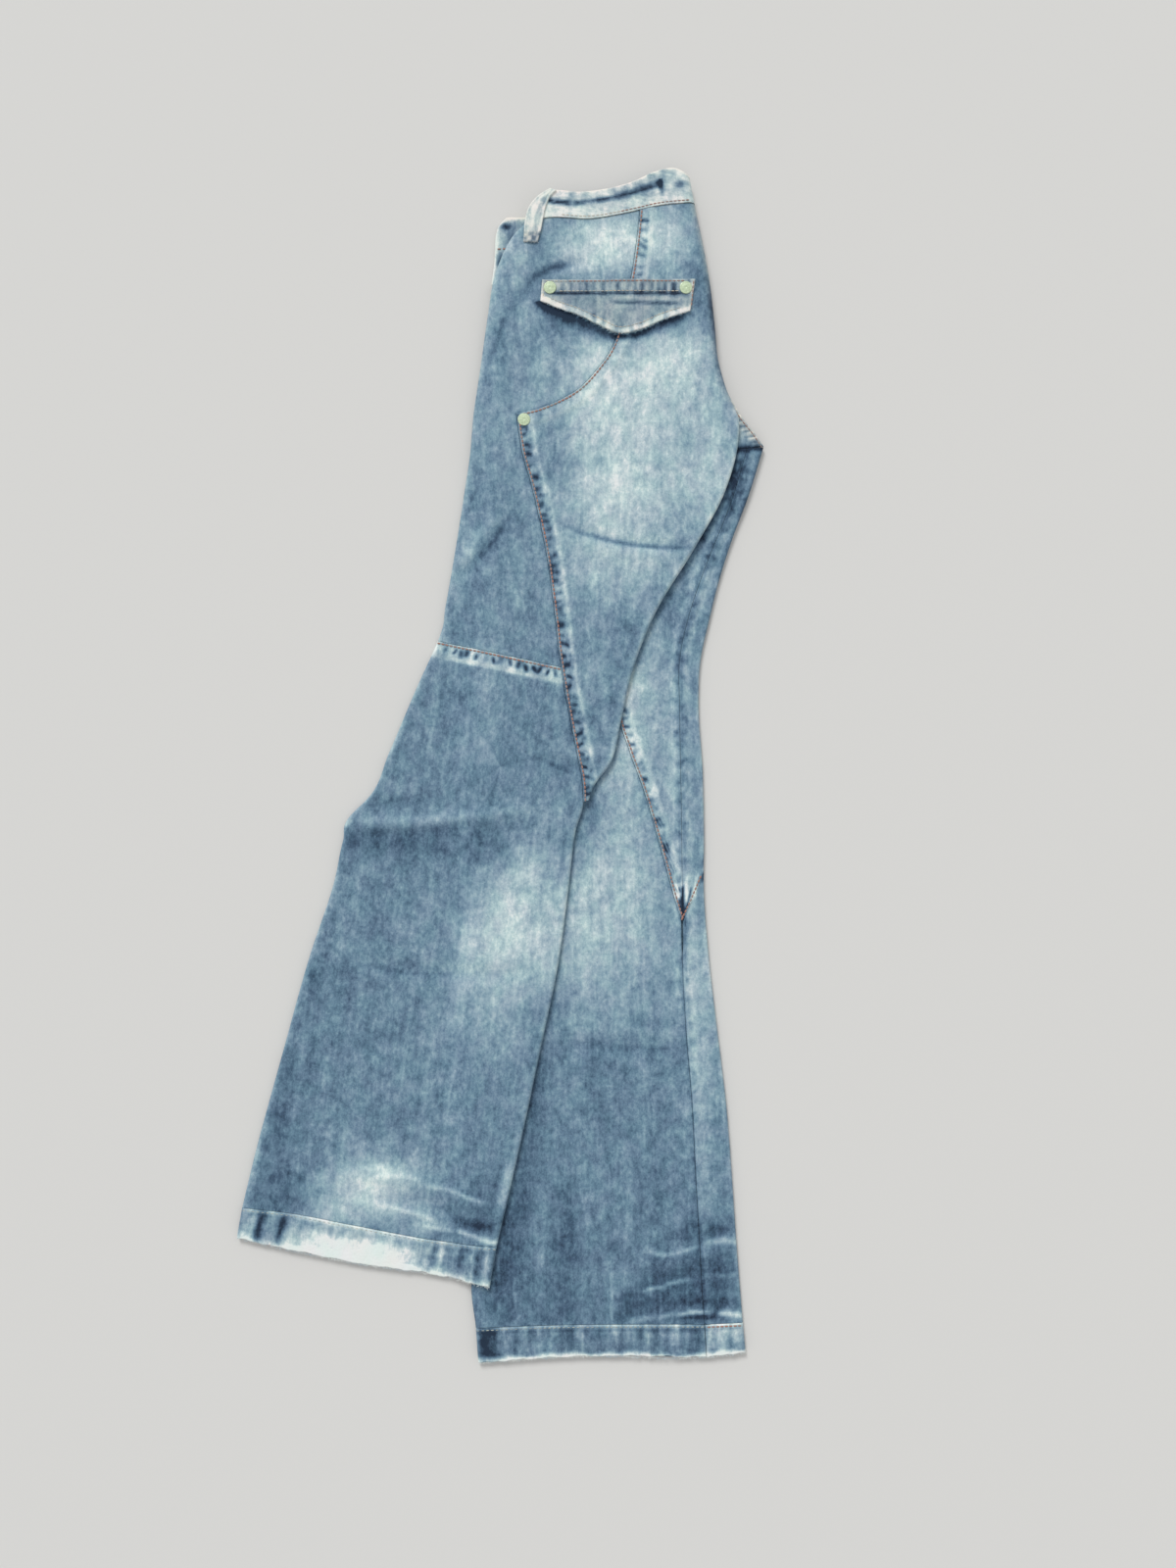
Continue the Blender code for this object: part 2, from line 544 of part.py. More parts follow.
def finish(name, bm, material):
    """Moves a piece into the part's frame, in metres, and gives it a name and a finish."""
    for vert in bm.verts:
        vert.co = Vector((vert.co.x - ORIGIN_X, vert.co.y - ORIGIN_Y, vert.co.z)) * MM
    mesh = bpy.data.meshes.new(name)
    bm.to_mesh(mesh)
    bm.free()
    mesh.materials.append(material)
    mesh.shade_smooth()
    mesh.set_sharp_from_angle(angle=0.7)
    piece = bpy.data.objects.new(name, mesh)
    bpy.context.collection.objects.link(piece)
    return piece


def finish_material(name, colour, roughness, metallic=0.0):
    material = bpy.data.materials.new(name)
    material.use_nodes = True
    shader = material.node_tree.nodes["Principled BSDF"]
    shader.inputs["Base Color"].default_value = (*colour, 1.0)
    shader.inputs["Roughness"].default_value = roughness
    shader.inputs["Metallic"].default_value = metallic
    return material


# ---- left leg ------------------------------------------------------------------------------

def waist_between(start_x, end_x):
    """The waist seam between two places across the hip."""
    line = smooth_line(WAIST_SEAM)
    fine = sampled(line, 400)[:, 0]
    return stretch(line, *[np.abs(fine - x).argmin() / 399 for x in (start_x, end_x)])


def share_of(table, start, middle, end):
    """Where a section comes between two others, from 0 to 1."""
    first, last = station(table, start), station(table, end)
    return (station(table, middle) - first) / (last - first)


def build_left_leg(denim):
    waist, seam_start = LEFT_LEG[0].side_x, LEFT_LEG[0].seam_x
    cloth_panel("left_side_panel",
                Edge(edge(LEFT_LEG, "side", "waist", "knee seam"), "fold", on_own_thickness),
                Edge(edge(LEFT_LEG, "seam", "waist", "knee seam"), "plain"),
                rows_between(LEFT_LEG, "waist", "knee seam", ROW_SPACING),
                left_height, CLOTH_WALL, denim, top=waist_between(waist, seam_start))
    cloth_panel("left_seat_panel",
                Edge(edge(LEFT_LEG, "seam", "waist", "tip"), "seam"),
                Edge(edge(LEFT_LEG, "inner", "waist", "tip"), "fold", on_right_leg),
                rows_between(LEFT_LEG, "waist", "tip", ROW_SPACING),
                seat_height, CLOTH_WALL, denim, top=waist_between(seam_start, LEFT_LEG[0].inner_x))
    tip = share_of(LEFT_LEG, "knee seam", "below knee fold", "hem stitching")
    cloth_panel("left_lower_panel",
                Edge(edge(LEFT_LEG, "side", "knee seam", "hem stitching"), "fold", on_own_thickness),
                Edge(edge(LEFT_LEG, "seam", "knee seam", "hem stitching"), "fold", on_right_leg, start=tip),
                rows_between(LEFT_LEG, "knee seam", "hem stitching", ROW_SPACING),
                lower_height, CLOTH_WALL, denim, bottom=smooth_line(LEFT_HEM_TOP))
    cloth_panel("left_hem",
                Edge(smooth_line([LEFT_HEM_TOP[0], LEFT_HEM_BOTTOM[0]]), "fold"),
                Edge(smooth_line([LEFT_HEM_TOP[-1], LEFT_HEM_BOTTOM[-1]]), "fold", on_right_leg, HEM_TUCK),
                even_rows("hem"), hem_height, HEM_WALL, denim,
                top=smooth_line(LEFT_HEM_TOP), bottom=smooth_line(LEFT_HEM_BOTTOM))


# ---- right leg -----------------------------------------------------------------------------

def build_right_leg(denim):
    cloth_panel("right_thigh_wedge",
                Edge(edge(RIGHT_LEG, "seam", "crotch", "V"), "seam"),
                Edge(edge(RIGHT_LEG, "inseam", "crotch", "V"), "fell"),
                rows_between(RIGHT_LEG, "crotch", "V", ROW_SPACING),
                wedge_height, CLOTH_WALL, denim)
    out = share_of(RIGHT_LEG, "seam in sight", "out again", "hem stitching")
    cloth_panel("right_lower_front",
                Edge(edge(RIGHT_LEG, "hidden", "seam in sight", "hem stitching"), "fold", start=out),
                Edge(edge(RIGHT_LEG, "seam", "seam in sight", "hem stitching"), "fell"),
                rows_between(RIGHT_LEG, "seam in sight", "hem stitching", ROW_SPACING),
                right_height, CLOTH_WALL, denim, bottom=smooth_line(RIGHT_HEM_TOP))
    for name, start, end in (("right_back_upper", "crotch", "V"), ("right_back_lower", "V", "hem stitching")):
        cloth_panel(name,
                    Edge(edge(RIGHT_LEG, "inseam", start, end), "fell"),
                    Edge(edge(RIGHT_LEG, "inner", start, end), "fold"),
                    rows_between(RIGHT_LEG, start, end, ROW_SPACING),
                    right_height, CLOTH_WALL, denim)
    join = [RIGHT_HEM_TOP[-1], RIGHT_HEM_BOTTOM[-1]]
    fold_line = [Point(RIGHT_LEG[-1].inner_x, RIGHT_LEG[-1].inner_y), RIGHT_HEM_CORNER]
    cloth_panel("right_hem_front",
                Edge(smooth_line([RIGHT_HEM_TOP[0], RIGHT_HEM_BOTTOM[0]]), "fold"),
                Edge(smooth_line(join), "plain"),
                even_rows("hem"), right_hem_height, HEM_WALL, denim,
                top=smooth_line(RIGHT_HEM_TOP), bottom=smooth_line(RIGHT_HEM_BOTTOM))
    cloth_panel("right_hem_back", Edge(smooth_line(join), "plain"), Edge(smooth_line(fold_line), "fold"),
                even_rows("hem"), right_hem_height, HEM_WALL, denim)
    cloth_panel("crotch_seam", Edge(smooth_line(CROTCH_INNER), "plain"),
                Edge(smooth_line(CROTCH_OUTER), "plain"),
                even_rows("crotch"), crotch_height, CLOTH_WALL, denim)


def crotch_height(x, y):
    return right_base(x, y) + CROTCH_RAISE


# ---- what is sewn on -----------------------------------------------------------------------

def band_height(x, y):
    return left_base(x, y) + BAND_RAISE


def under_band(x, y):
    return np.maximum(band_height(x, y) - LEG_THICK - BAND_RAISE, TUCK_FLOOR)


def flap_height(x, y):
    """The flap lies on the seat and stands a little proud towards its lower edge."""
    down = np.clip((FLAP_TOP[0].y - y) / FLAP_DROP, 0, 1)
    return highest_near(seat_height, x, y, 6.0) + LAY_GAP + FLAP_WALL + FLAP_PROUD * down**2


def loop_height(x, y):
    sink = LOOP_SINK * smooth_step(LOOP_SINK_FROM, LOOP_SINK_TO, y)
    return highest_near(band_height, x, y, 10.0) + LAY_GAP + LOOP_WALL - sink


def front_band_height(x, y):
    return np.full_like(x, FRONT_BAND_TOP)


def build_waist(denim):
    cloth_panel("waistband_back",
                Edge(smooth_line([BAND_TOP[0], WAIST_SEAM[0]]), "fold", under_band),
                Edge(smooth_line([BAND_TOP[-1], WAIST_SEAM[-1]]), "fold"),
                even_rows("band"), band_height, BAND_WALL, denim,
                top=smooth_line(BAND_TOP), bottom=smooth_line(WAIST_SEAM), bottom_gap=BAND_GAP)
    cloth_panel("waistband_front", Edge(smooth_line(FRONT_BAND_OUTER), "plain"),
                Edge(smooth_line(FRONT_BAND_INNER), "plain"),
                even_rows("front band"), front_band_height, BAND_WALL, denim)
    cloth_panel("pocket_flap", Edge(smooth_line([FLAP_TOP[0], FLAP_BOTTOM[0]]), "plain"),
                Edge(smooth_line([FLAP_TOP[-1], FLAP_BOTTOM[-1]]), "plain"),
                even_rows("flap"), flap_height, FLAP_WALL, denim,
                top=smooth_line(FLAP_TOP), bottom=smooth_line(FLAP_BOTTOM))
    cloth_panel("belt_loop_side", Edge(smooth_line(LOOP_OUTER), "plain"),
                Edge(smooth_line(LOOP_INNER), "plain"),
                even_rows("loop"), loop_height, LOOP_WALL, denim)


def build_rivets(metal):
    """Turned caps, flat under and domed over, each on the cloth's highest point near it."""
    heights = {"flap": flap_height, "seat": seat_height}
    for rivet in RIVETS:
        x, y = np.array([rivet.x]), np.array([rivet.y])
        seat = highest_near(heights[rivet.on], x, y, RIVET_RADIUS)[0] + LAY_GAP
        bm = bmesh.new()
        verts = [bm.verts.new((share * RIVET_RADIUS, 0, seat + level)) for share, level in RIVET_PROFILE]
        edges = [bm.edges.new(pair) for pair in zip(verts, verts[1:])]
        bmesh.ops.spin(bm, geom=verts + edges, cent=(0, 0, 0), axis=(0, 0, 1), angle=2 * pi,
                       steps=RIVET_STEPS, use_merge=True, use_duplicate=False)
        bmesh.ops.remove_doubles(bm, verts=bm.verts[:], dist=1e-4)
        bmesh.ops.recalc_face_normals(bm, faces=bm.faces[:])
        bmesh.ops.translate(bm, verts=bm.verts[:], vec=(rivet.x, rivet.y, 0))
        finish(rivet.name, bm, metal)


# ---- hidden layers -------------------------------------------------------------------------

def inset(points, distance):
    """A line moved to its left as it runs."""
    pts = np.array(points, dtype=float)
    run = np.gradient(pts, axis=0)
    left = np.column_stack([-run[:, 1], run[:, 0]]) / np.linalg.norm(run, axis=1)[:, None]
    return pts + left * distance


def spaced(line, spacing):
    """Points along a sampled line, about evenly spaced, with its ends."""
    along = running_length(line)
    count = max(2, round(along[-1] / spacing) + 1)
    marks = np.linspace(0, along[-1], count)
    return np.column_stack([np.interp(marks, along, line[:, k]) for k in range(2)])


def inside(polygon, x, y):
    """Whether a point is inside a closed outline."""
    hit = False
    for (ax, ay), (bx, by) in zip(polygon, np.roll(polygon, -1, axis=0)):
        if (ay > y) != (by > y) and x < ax + (y - ay) / (by - ay) * (bx - ax):
            hit = not hit
    return hit


def hidden_outline():
    """The hidden layers' outline, anticlockwise. Each point's edge may be grooved between layers,
    and its lowest layer may reach out beyond the others, as the right leg's fold does at the hip."""
    left_hem = stretch(smooth_line(LEFT_HEM_BOTTOM), 0.1, 0.9)
    right_hem = stretch(smooth_line(RIGHT_HEM_BOTTOM + [RIGHT_HEM_CORNER]), 0.07, 0.93)
    band = stretch(smooth_line(BAND_TOP), 0.175, 0.89)
    stretches = [
        (inset(sampled(edge(LEFT_LEG, "side", "low flap", "crotch"), 40), EDGE_INSET), 0, HIP_LIP),
        (inset(sampled(edge(LEFT_LEG, "side", "upper thigh", "hem stitching"), 140), EDGE_INSET), 0, 0),
        (inset(sampled(left_hem, 50), OPEN_INSET), 0, 0),
        (inset(sampled(edge(RIGHT_LEG, "hidden", "out again", "hem stitching"), 10), EDGE_INSET), 0, 0),
        (inset(sampled(right_hem, 50), OPEN_INSET), 0, 0),
        (inset(sampled(edge(RIGHT_LEG, "inner", "crotch", "hem stitching"), 200)[::-1], EDGE_INSET), 0, 0),
        (np.array(CROTCH_EDGE, dtype=float), 1, 0),
        (inset(sampled(edge(LEFT_LEG, "inner", "waist", "hip"), 40)[::-1], SEAT_INSET), 1, 0),
        (inset(sampled(band, 45)[::-1], BAND_INSET), 1, 0),
        (np.array(FRONT_STEP, dtype=float), 1, 0),
    ]
    points, grooved, lips = [], [], []
    for line, groove, lip in stretches:
        marks = spaced(line, HIDDEN_SPACING)
        points += list(marks)
        grooved += [groove] * len(marks)
        lips += [lip] * len(marks)
    return np.array(points), grooved, lips


def step_lines():
    """Where the hidden layers step down from under the left leg to under the right leg."""
    inner = sampled(edge(LEFT_LEG, "inner", "high sweep", "hem stitching"), 160)[::-1]
    away = np.interp(inner[:, 1], [-430, -360], [STEP_INSET_HEM, STEP_INSET])
    lines = []
    for extra, below_hem in ((STEP_RUN, 5.0), (0.0, 2.5)):
        line = np.array([inset(inner, a + extra)[i] for i, a in enumerate(away)])
        corner = line[0] + (0, -(HEM_DEPTH - below_hem))
        lines.append(np.vstack([corner, spaced(line, HIDDEN_SPACING)]))
    return lines


def build_hidden_layers(denim):
    """One rounded solid, flat underneath, for all the layers that the fold hides."""
    outline, grooved, lips = hidden_outline()
    upper, lower = step_lines()
    rim_count, lower_from = len(outline), len(outline) + len(upper)
    places = np.vstack([outline, upper, lower])
    edges = [(i, (i + 1) % rim_count) for i in range(rim_count)]
    edges += [(i, i + 1) for i in range(rim_count, len(places) - 1) if i + 1 != lower_from]
    lattice = [(x, y) for x in np.arange(-HALF_WIDTH, HALF_WIDTH, LATTICE)
               for y in np.arange(-HALF_LENGTH, HALF_LENGTH, LATTICE)
               if inside(outline, x, y) and np.hypot(*(places - (x, y)).T).min() > LATTICE_CLEAR]
    coords = [Vector(p) for p in np.vstack([places, lattice])]
    verts, _, faces, origins, _, _ = delaunay_2d_cdt(coords, edges, [list(range(rim_count))], 1, 1e-4)
    core = core_outline(upper)
    bm = bmesh.new()
    outward = bm.verts.layers.float_vector.new("outward")
    lip = bm.verts.layers.float.new("lip")
    for place, sources in zip(verts, origins):
        source = sources[0]
        x, y = np.array([place[0]]), np.array([place[1]])
        on_core = inside(core, *place) and not lower_from <= source < len(places)
        face = lowest_near(left_base, x, y, LATTICE / 2)[0] if on_core else right_base(x, y)[0]
        vert = bm.verts.new((*place, face - CLOTH_WALL - HIDDEN_CLEAR))
        if source < rim_count:
            run = outline[(source + 1) % rim_count] - outline[source - 1]
            run /= np.linalg.norm(run)
            vert[outward] = Vector((run[1], -run[0], grooved[source]))
            vert[lip] = lips[source]
    bm.verts.ensure_lookup_table()
    for face in faces:
        bm.faces.new([bm.verts[i] for i in face])
    close_underside(bm, outward, lip)
    return finish("folded_layers", bm, denim)


def close_underside(bm, outward, lip):
    """Carries the hidden layers' rim down to the floor, with a groove between layers, and closes it."""
    rim = [e for e in bm.edges if e.is_boundary]
    tops = {}
    for level, reach, groove in EDGE_RINGS:
        extruded = bmesh.ops.extrude_edge_only(bm, edges=rim)["geom"]
        rim = [e for e in extruded if isinstance(e, bmesh.types.BMEdge) and e.is_boundary]
        for vert in {v for e in rim for v in e.verts}:
            away = vert[outward]
            top = tops.get(vert.co.xy.to_tuple(3), vert.co.copy())
            out = reach - groove * away.z + vert[lip] * (level <= LIP_LEVEL)
            vert.co = Vector((top.x + away.x * out, top.y + away.y * out, top.z * level))
            tops[vert.co.xy.to_tuple(3)] = top
    bmesh.ops.contextual_create(bm, geom=rim)
    bmesh.ops.recalc_face_normals(bm, faces=bm.faces[:])


def core_outline(upper):
    """The left leg's area over which the hidden layers reach their full height."""
    side = sampled(edge(LEFT_LEG, "side", "low flap", "hem stitching"), 80)
    hem = sampled(smooth_line(LEFT_HEM_BOTTOM), 20)
    hem = hem[hem[:, 0] < upper[0, 0]]
    seat = sampled(edge(LEFT_LEG, "inner", "waist", "hip"), 20)[::-1]
    band = sampled(smooth_line(BAND_TOP), 20)[::-1]
    return np.vstack([side, hem, upper + (0.1, 0), seat, band, np.array(FRONT_STEP) - (3, 0)])


# ---- the whole garment ---------------------------------------------------------------------

def main():
    for thing in list(bpy.data.objects):
        bpy.data.objects.remove(thing, do_unlink=True)
    denim = finish_material("denim", (0.16, 0.24, 0.33), 0.9)
    rivet_metal = finish_material("rivet_metal", (0.60, 0.70, 0.40), 0.4, 0.9)
    build_left_leg(denim)
    build_right_leg(denim)
    build_waist(denim)
    build_hidden_layers(denim)
    build_rivets(rivet_metal)


main()
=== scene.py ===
from collections import namedtuple
from math import cos, pi, sin

import bmesh
import bpy
import numpy as np
from mathutils import Matrix, Vector
from mathutils.geometry import delaunay_2d_cdt


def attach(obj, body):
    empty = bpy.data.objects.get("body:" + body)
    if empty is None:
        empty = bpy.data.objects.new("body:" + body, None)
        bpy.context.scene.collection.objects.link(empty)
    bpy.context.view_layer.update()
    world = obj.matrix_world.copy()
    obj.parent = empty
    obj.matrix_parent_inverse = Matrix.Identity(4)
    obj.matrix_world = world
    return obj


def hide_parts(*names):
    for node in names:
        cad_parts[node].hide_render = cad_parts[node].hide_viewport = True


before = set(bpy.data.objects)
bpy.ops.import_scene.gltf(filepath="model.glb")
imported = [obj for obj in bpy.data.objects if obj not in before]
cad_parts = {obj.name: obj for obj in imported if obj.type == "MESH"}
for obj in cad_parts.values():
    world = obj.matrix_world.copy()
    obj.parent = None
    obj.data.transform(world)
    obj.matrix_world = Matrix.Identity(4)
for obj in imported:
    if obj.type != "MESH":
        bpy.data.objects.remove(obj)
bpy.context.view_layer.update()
print("frame loaded:", len(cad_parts), "nodes")

# Bootcut jeans folded in half, the left leg's back on top of the right leg's front.
# Lengths and tables are in millimetres, in the tables' own frame; origin is its middle.
mm = 0.001
origin = (-0.85, -1.57)
Point = namedtuple("Point", "x y")


def pointList(*pairs):
    return [Point(*pair) for pair in pairs]


def namedRows(kind, legs):
    return {leg: [kind(*row) for row in rows] for leg, rows in legs.items()}



cloth = {"wall": 1.3, "bandWall": 2.6, "flapWall": 2.0, "loopWall": 1.8, "hemWall": 2.4,
         "seamGap": 0.3, "layGap": 0.35, "bandGap": 0.7, "spacing": 1.9}
lift = {"legThick": 5.2, "rampOut": -20, "rampIn": 16, "crotch": 1.4, "crotchFrom": 180, "crotchTo": 280,
        "places": [-60, 120, 300], "heights": [6.2, 6.8, 8.6]}
lapSeam = {"width": 12.0, "edge": 3.0, "raise": 0.8, "fell": 6.0, "hemRaise": 0.7}
stitchRows = {"seam": 1.8, "waist": 2.0, "crotch": -2.0, "hem": -1.9, "flap": 5.6}   # distance from the edge
foldUnder = {"tuck": 5.0, "floor": 0.3, "wrapFrom": 338, "wrapTo": 366, "cornerFrom": 408, "cornerTo": 424,
             "cornerHeight": 4.35}

# Left leg: side fold, seat seam and inner fold, from the waist to the hem's stitching.
Left = namedtuple("Left", "name sideX sideY seamX seamY innerX innerY")
leftLeg = [Left(*row) for row in (
    ("waist", 23.5, 482.0, 123.5, 492.0, 172.5, 499.0),
    ("high hip", 8.0, 466.0, 120.5, 463.0, 179.5, 466.0),
    ("flap", -4.5, 439.0, 116.5, 436.0, 185.0, 436.0),
    ("low flap", -12.0, 398.0, 107.5, 396.0, 190.0, 396.0),
    ("hip", -18.0, 356.0, 91.0, 358.0, 194.0, 358.0),
    ("high sweep", -21.5, 333.0, 62.0, 329.0, 200.5, 334.0),
    ("low sweep", -23.5, 320.0, 36.0, 317.0, 205.5, 322.0),
    ("rivet", -25.0, 308.0, 14.3, 312.0, 211.0, 309.0),
    ("crotch", -27.0, 284.0, 18.0, 286.0, 211.0, 290.0),
    ("upper thigh", -32.0, 249.0, 28.0, 247.5, 199.5, 244.5),
    ("thigh", -40.0, 198.0, 39.5, 195.5, 172.5, 194.0),
    ("middle thigh", -49.5, 143.5, 48.0, 137.0, 136.5, 134.0),
    ("knee seam", -56.5, 111.5, 54.0, 87.5, 114.5, 75.0),
    ("below knee seam", -76.0, 68.5, 61.0, 46.5, 106.5, 38.0),
    ("above knee fold", -100.0, 12.0, 68.5, 9.0, 98.5, 4.5),
    ("knee fold", -118.0, -27.5, 73.0, -17.0, 82.0, -19.5),
    ("tip", -134.0, -43.5, 73.5, -31.5, 78.0, -30.5),
    ("below knee fold", -141.0, -66.0, 67.0, -56.0, 67.0, -56.0),
    ("shin", -149.5, -105.0, 61.0, -103.0, 61.0, -103.0),
    ("calf", -171.0, -170.0, 52.0, -171.0, 52.0, -171.0),
    ("low calf", -195.0, -256.0, 34.5, -256.0, 34.5, -256.0),
    ("above hem", -217.0, -336.0, 15.5, -345.0, 15.5, -345.0),
    ("hem stitching", -231.0, -393.5, -3.4, -426.5, -3.4, -426.5),
)]

# Right leg: where it goes out of sight, slanting seam, inseam and inner fold.
Right = namedtuple("Right", "name hiddenX hiddenY seamX seamY inseamX inseamY innerX innerY")
rightLeg = [Right(*row) for row in (
    ("crotch", 200, 281.4, 200, 281.4, 219.5, 283.1, 234.2, 284.4),
    ("upper thigh", 186, 238, 186, 238, 205.5, 236, 220.5, 240),
    ("thigh", 168.5, 205, 168.5, 205, 193, 204, 206.5, 203),
    ("middle thigh", 148, 170, 148, 170, 179.5, 170, 195, 167),
    ("low thigh", 125.5, 130, 125.5, 130, 166.5, 130, 186, 131),
    ("above knee", 108, 90, 108, 90, 159, 90, 177.8, 92),
    ("seam in sight", 98, 54, 104.5, 56, 159.3, 54, 176.3, 58),
    ("below knee", 90, 12, 115.1, 12.1, 160.2, 0, 180, -5),
    ("tip", 67.5, -27, 129.1, -27.1, 161, -45, 181, -45),
    ("shin", 54, -80, 144.8, -81.2, 161.6, -100, 181.2, -75),
    ("above V", 49, -119, 155.3, -119.6, 162, -125, 180.8, -90),
    ("V", 46.5, -138, 160.7, -136.5, 162.3, -138, 180.8, -98),
    ("below V", 41, -175, 161.8, -175, 161.8, -175, 185.5, -170),
    ("calf", 28, -235, 165, -235, 165, -235, 193, -235),
    ("low calf", 14, -305, 170.5, -303, 170.5, -303, 201, -301.5),
    ("above hem", -3, -375, 174, -372, 174, -372, 206.5, -372),
    ("left hem", -14, -425, 177, -423, 177, -423, 210, -423),
    ("out again", -26.5, -464, 179.3, -466, 179.3, -466, 213.3, -466),
    ("hem stitching", -22.5, -501, 181.5, -497.5, 181.5, -497.5, 215.8, -496),
)]
rightOuterFold = pointList((4, 490), (0, 440), (-8, 398), (-13, 356), (-17, 320), (-18, 284), (-20, 198),
                           (-25, 115), (-33, 19), (-33, -68), (-28, -132), (-33, -202), (-36, -278),
                           (-34, -366), (-28.5, -453), (-27, -478), (-22.5, -501), (-20.5, -532))

# Edges that run across the legs.
waistSeam = pointList((23.5, 482), (43.8, 485.3), (81, 484.3), (103.7, 487.8), (123.5, 492), (136.7, 495.2),
                      (172.5, 499))
bandTop = pointList((25.5, 494.5), (33, 503.5), (45, 509), (69.8, 508.2), (99.3, 512.1), (118.4, 517.7),
                    (136.7, 526), (154.9, 529), (167.9, 522.5))
flapTop = pointList((37, 430), (172.7, 430.5))
flapBottom = pointList((35.3, 411), (50.8, 404.5), (67.2, 398.9), (84.5, 390.7), (102.7, 382), (126, 385.9),
                       (140.7, 392.8), (168, 402))
leftHemTop = pointList((-231, -393.5), (-185, -398.9), (-130.9, -409.3), (-41.1, -424.5), (-3.4, -426.5))
leftHemBottom = pointList((-235.9, -421), (-187.9, -431.5), (-115.4, -445.5), (-70.9, -451.6),
                          (-9.7, -462.9))
rightHemTop = pointList((-22.5, -501), (43.6, -498.3), (118.6, -497.5), (181.5, -497.5))
rightHemBottom = pointList((-20.3, -532.4), (36.5, -528), (81.1, -526.2), (183.4, -527.1))
rightHemCorner = Point(218.3, -522.8)
crotchOuter = pointList((203.5, 330), (213.5, 312.5), (225.7, 297), (234.4, 284.5))
crotchInner = pointList((198.5, 326), (203, 305), (202.5, 290), (200, 281.5))
crotchEdge = pointList((212, 304), (195, 331), (181, 350))
frontBandOuter = pointList((5, 490), (-2.4, 482), (-5, 472), (-5.5, 458.5), (-8.7, 429))
frontBandInner = pointList((34, 490), (24, 470), (14, 452), (6, 429))
frontStep = pointList((45, 492), (38, 478), (28, 458), (16, 436))
loopOuter = pointList((44, 510.5), (33.5, 504), (28.5, 499), (25, 493.5), (22.6, 485.5), (20.3, 463.3))
loopInner = pointList((50, 508.5), (44.7, 503.5), (41.3, 496.5), (38.4, 485), (36, 473), (33, 463))

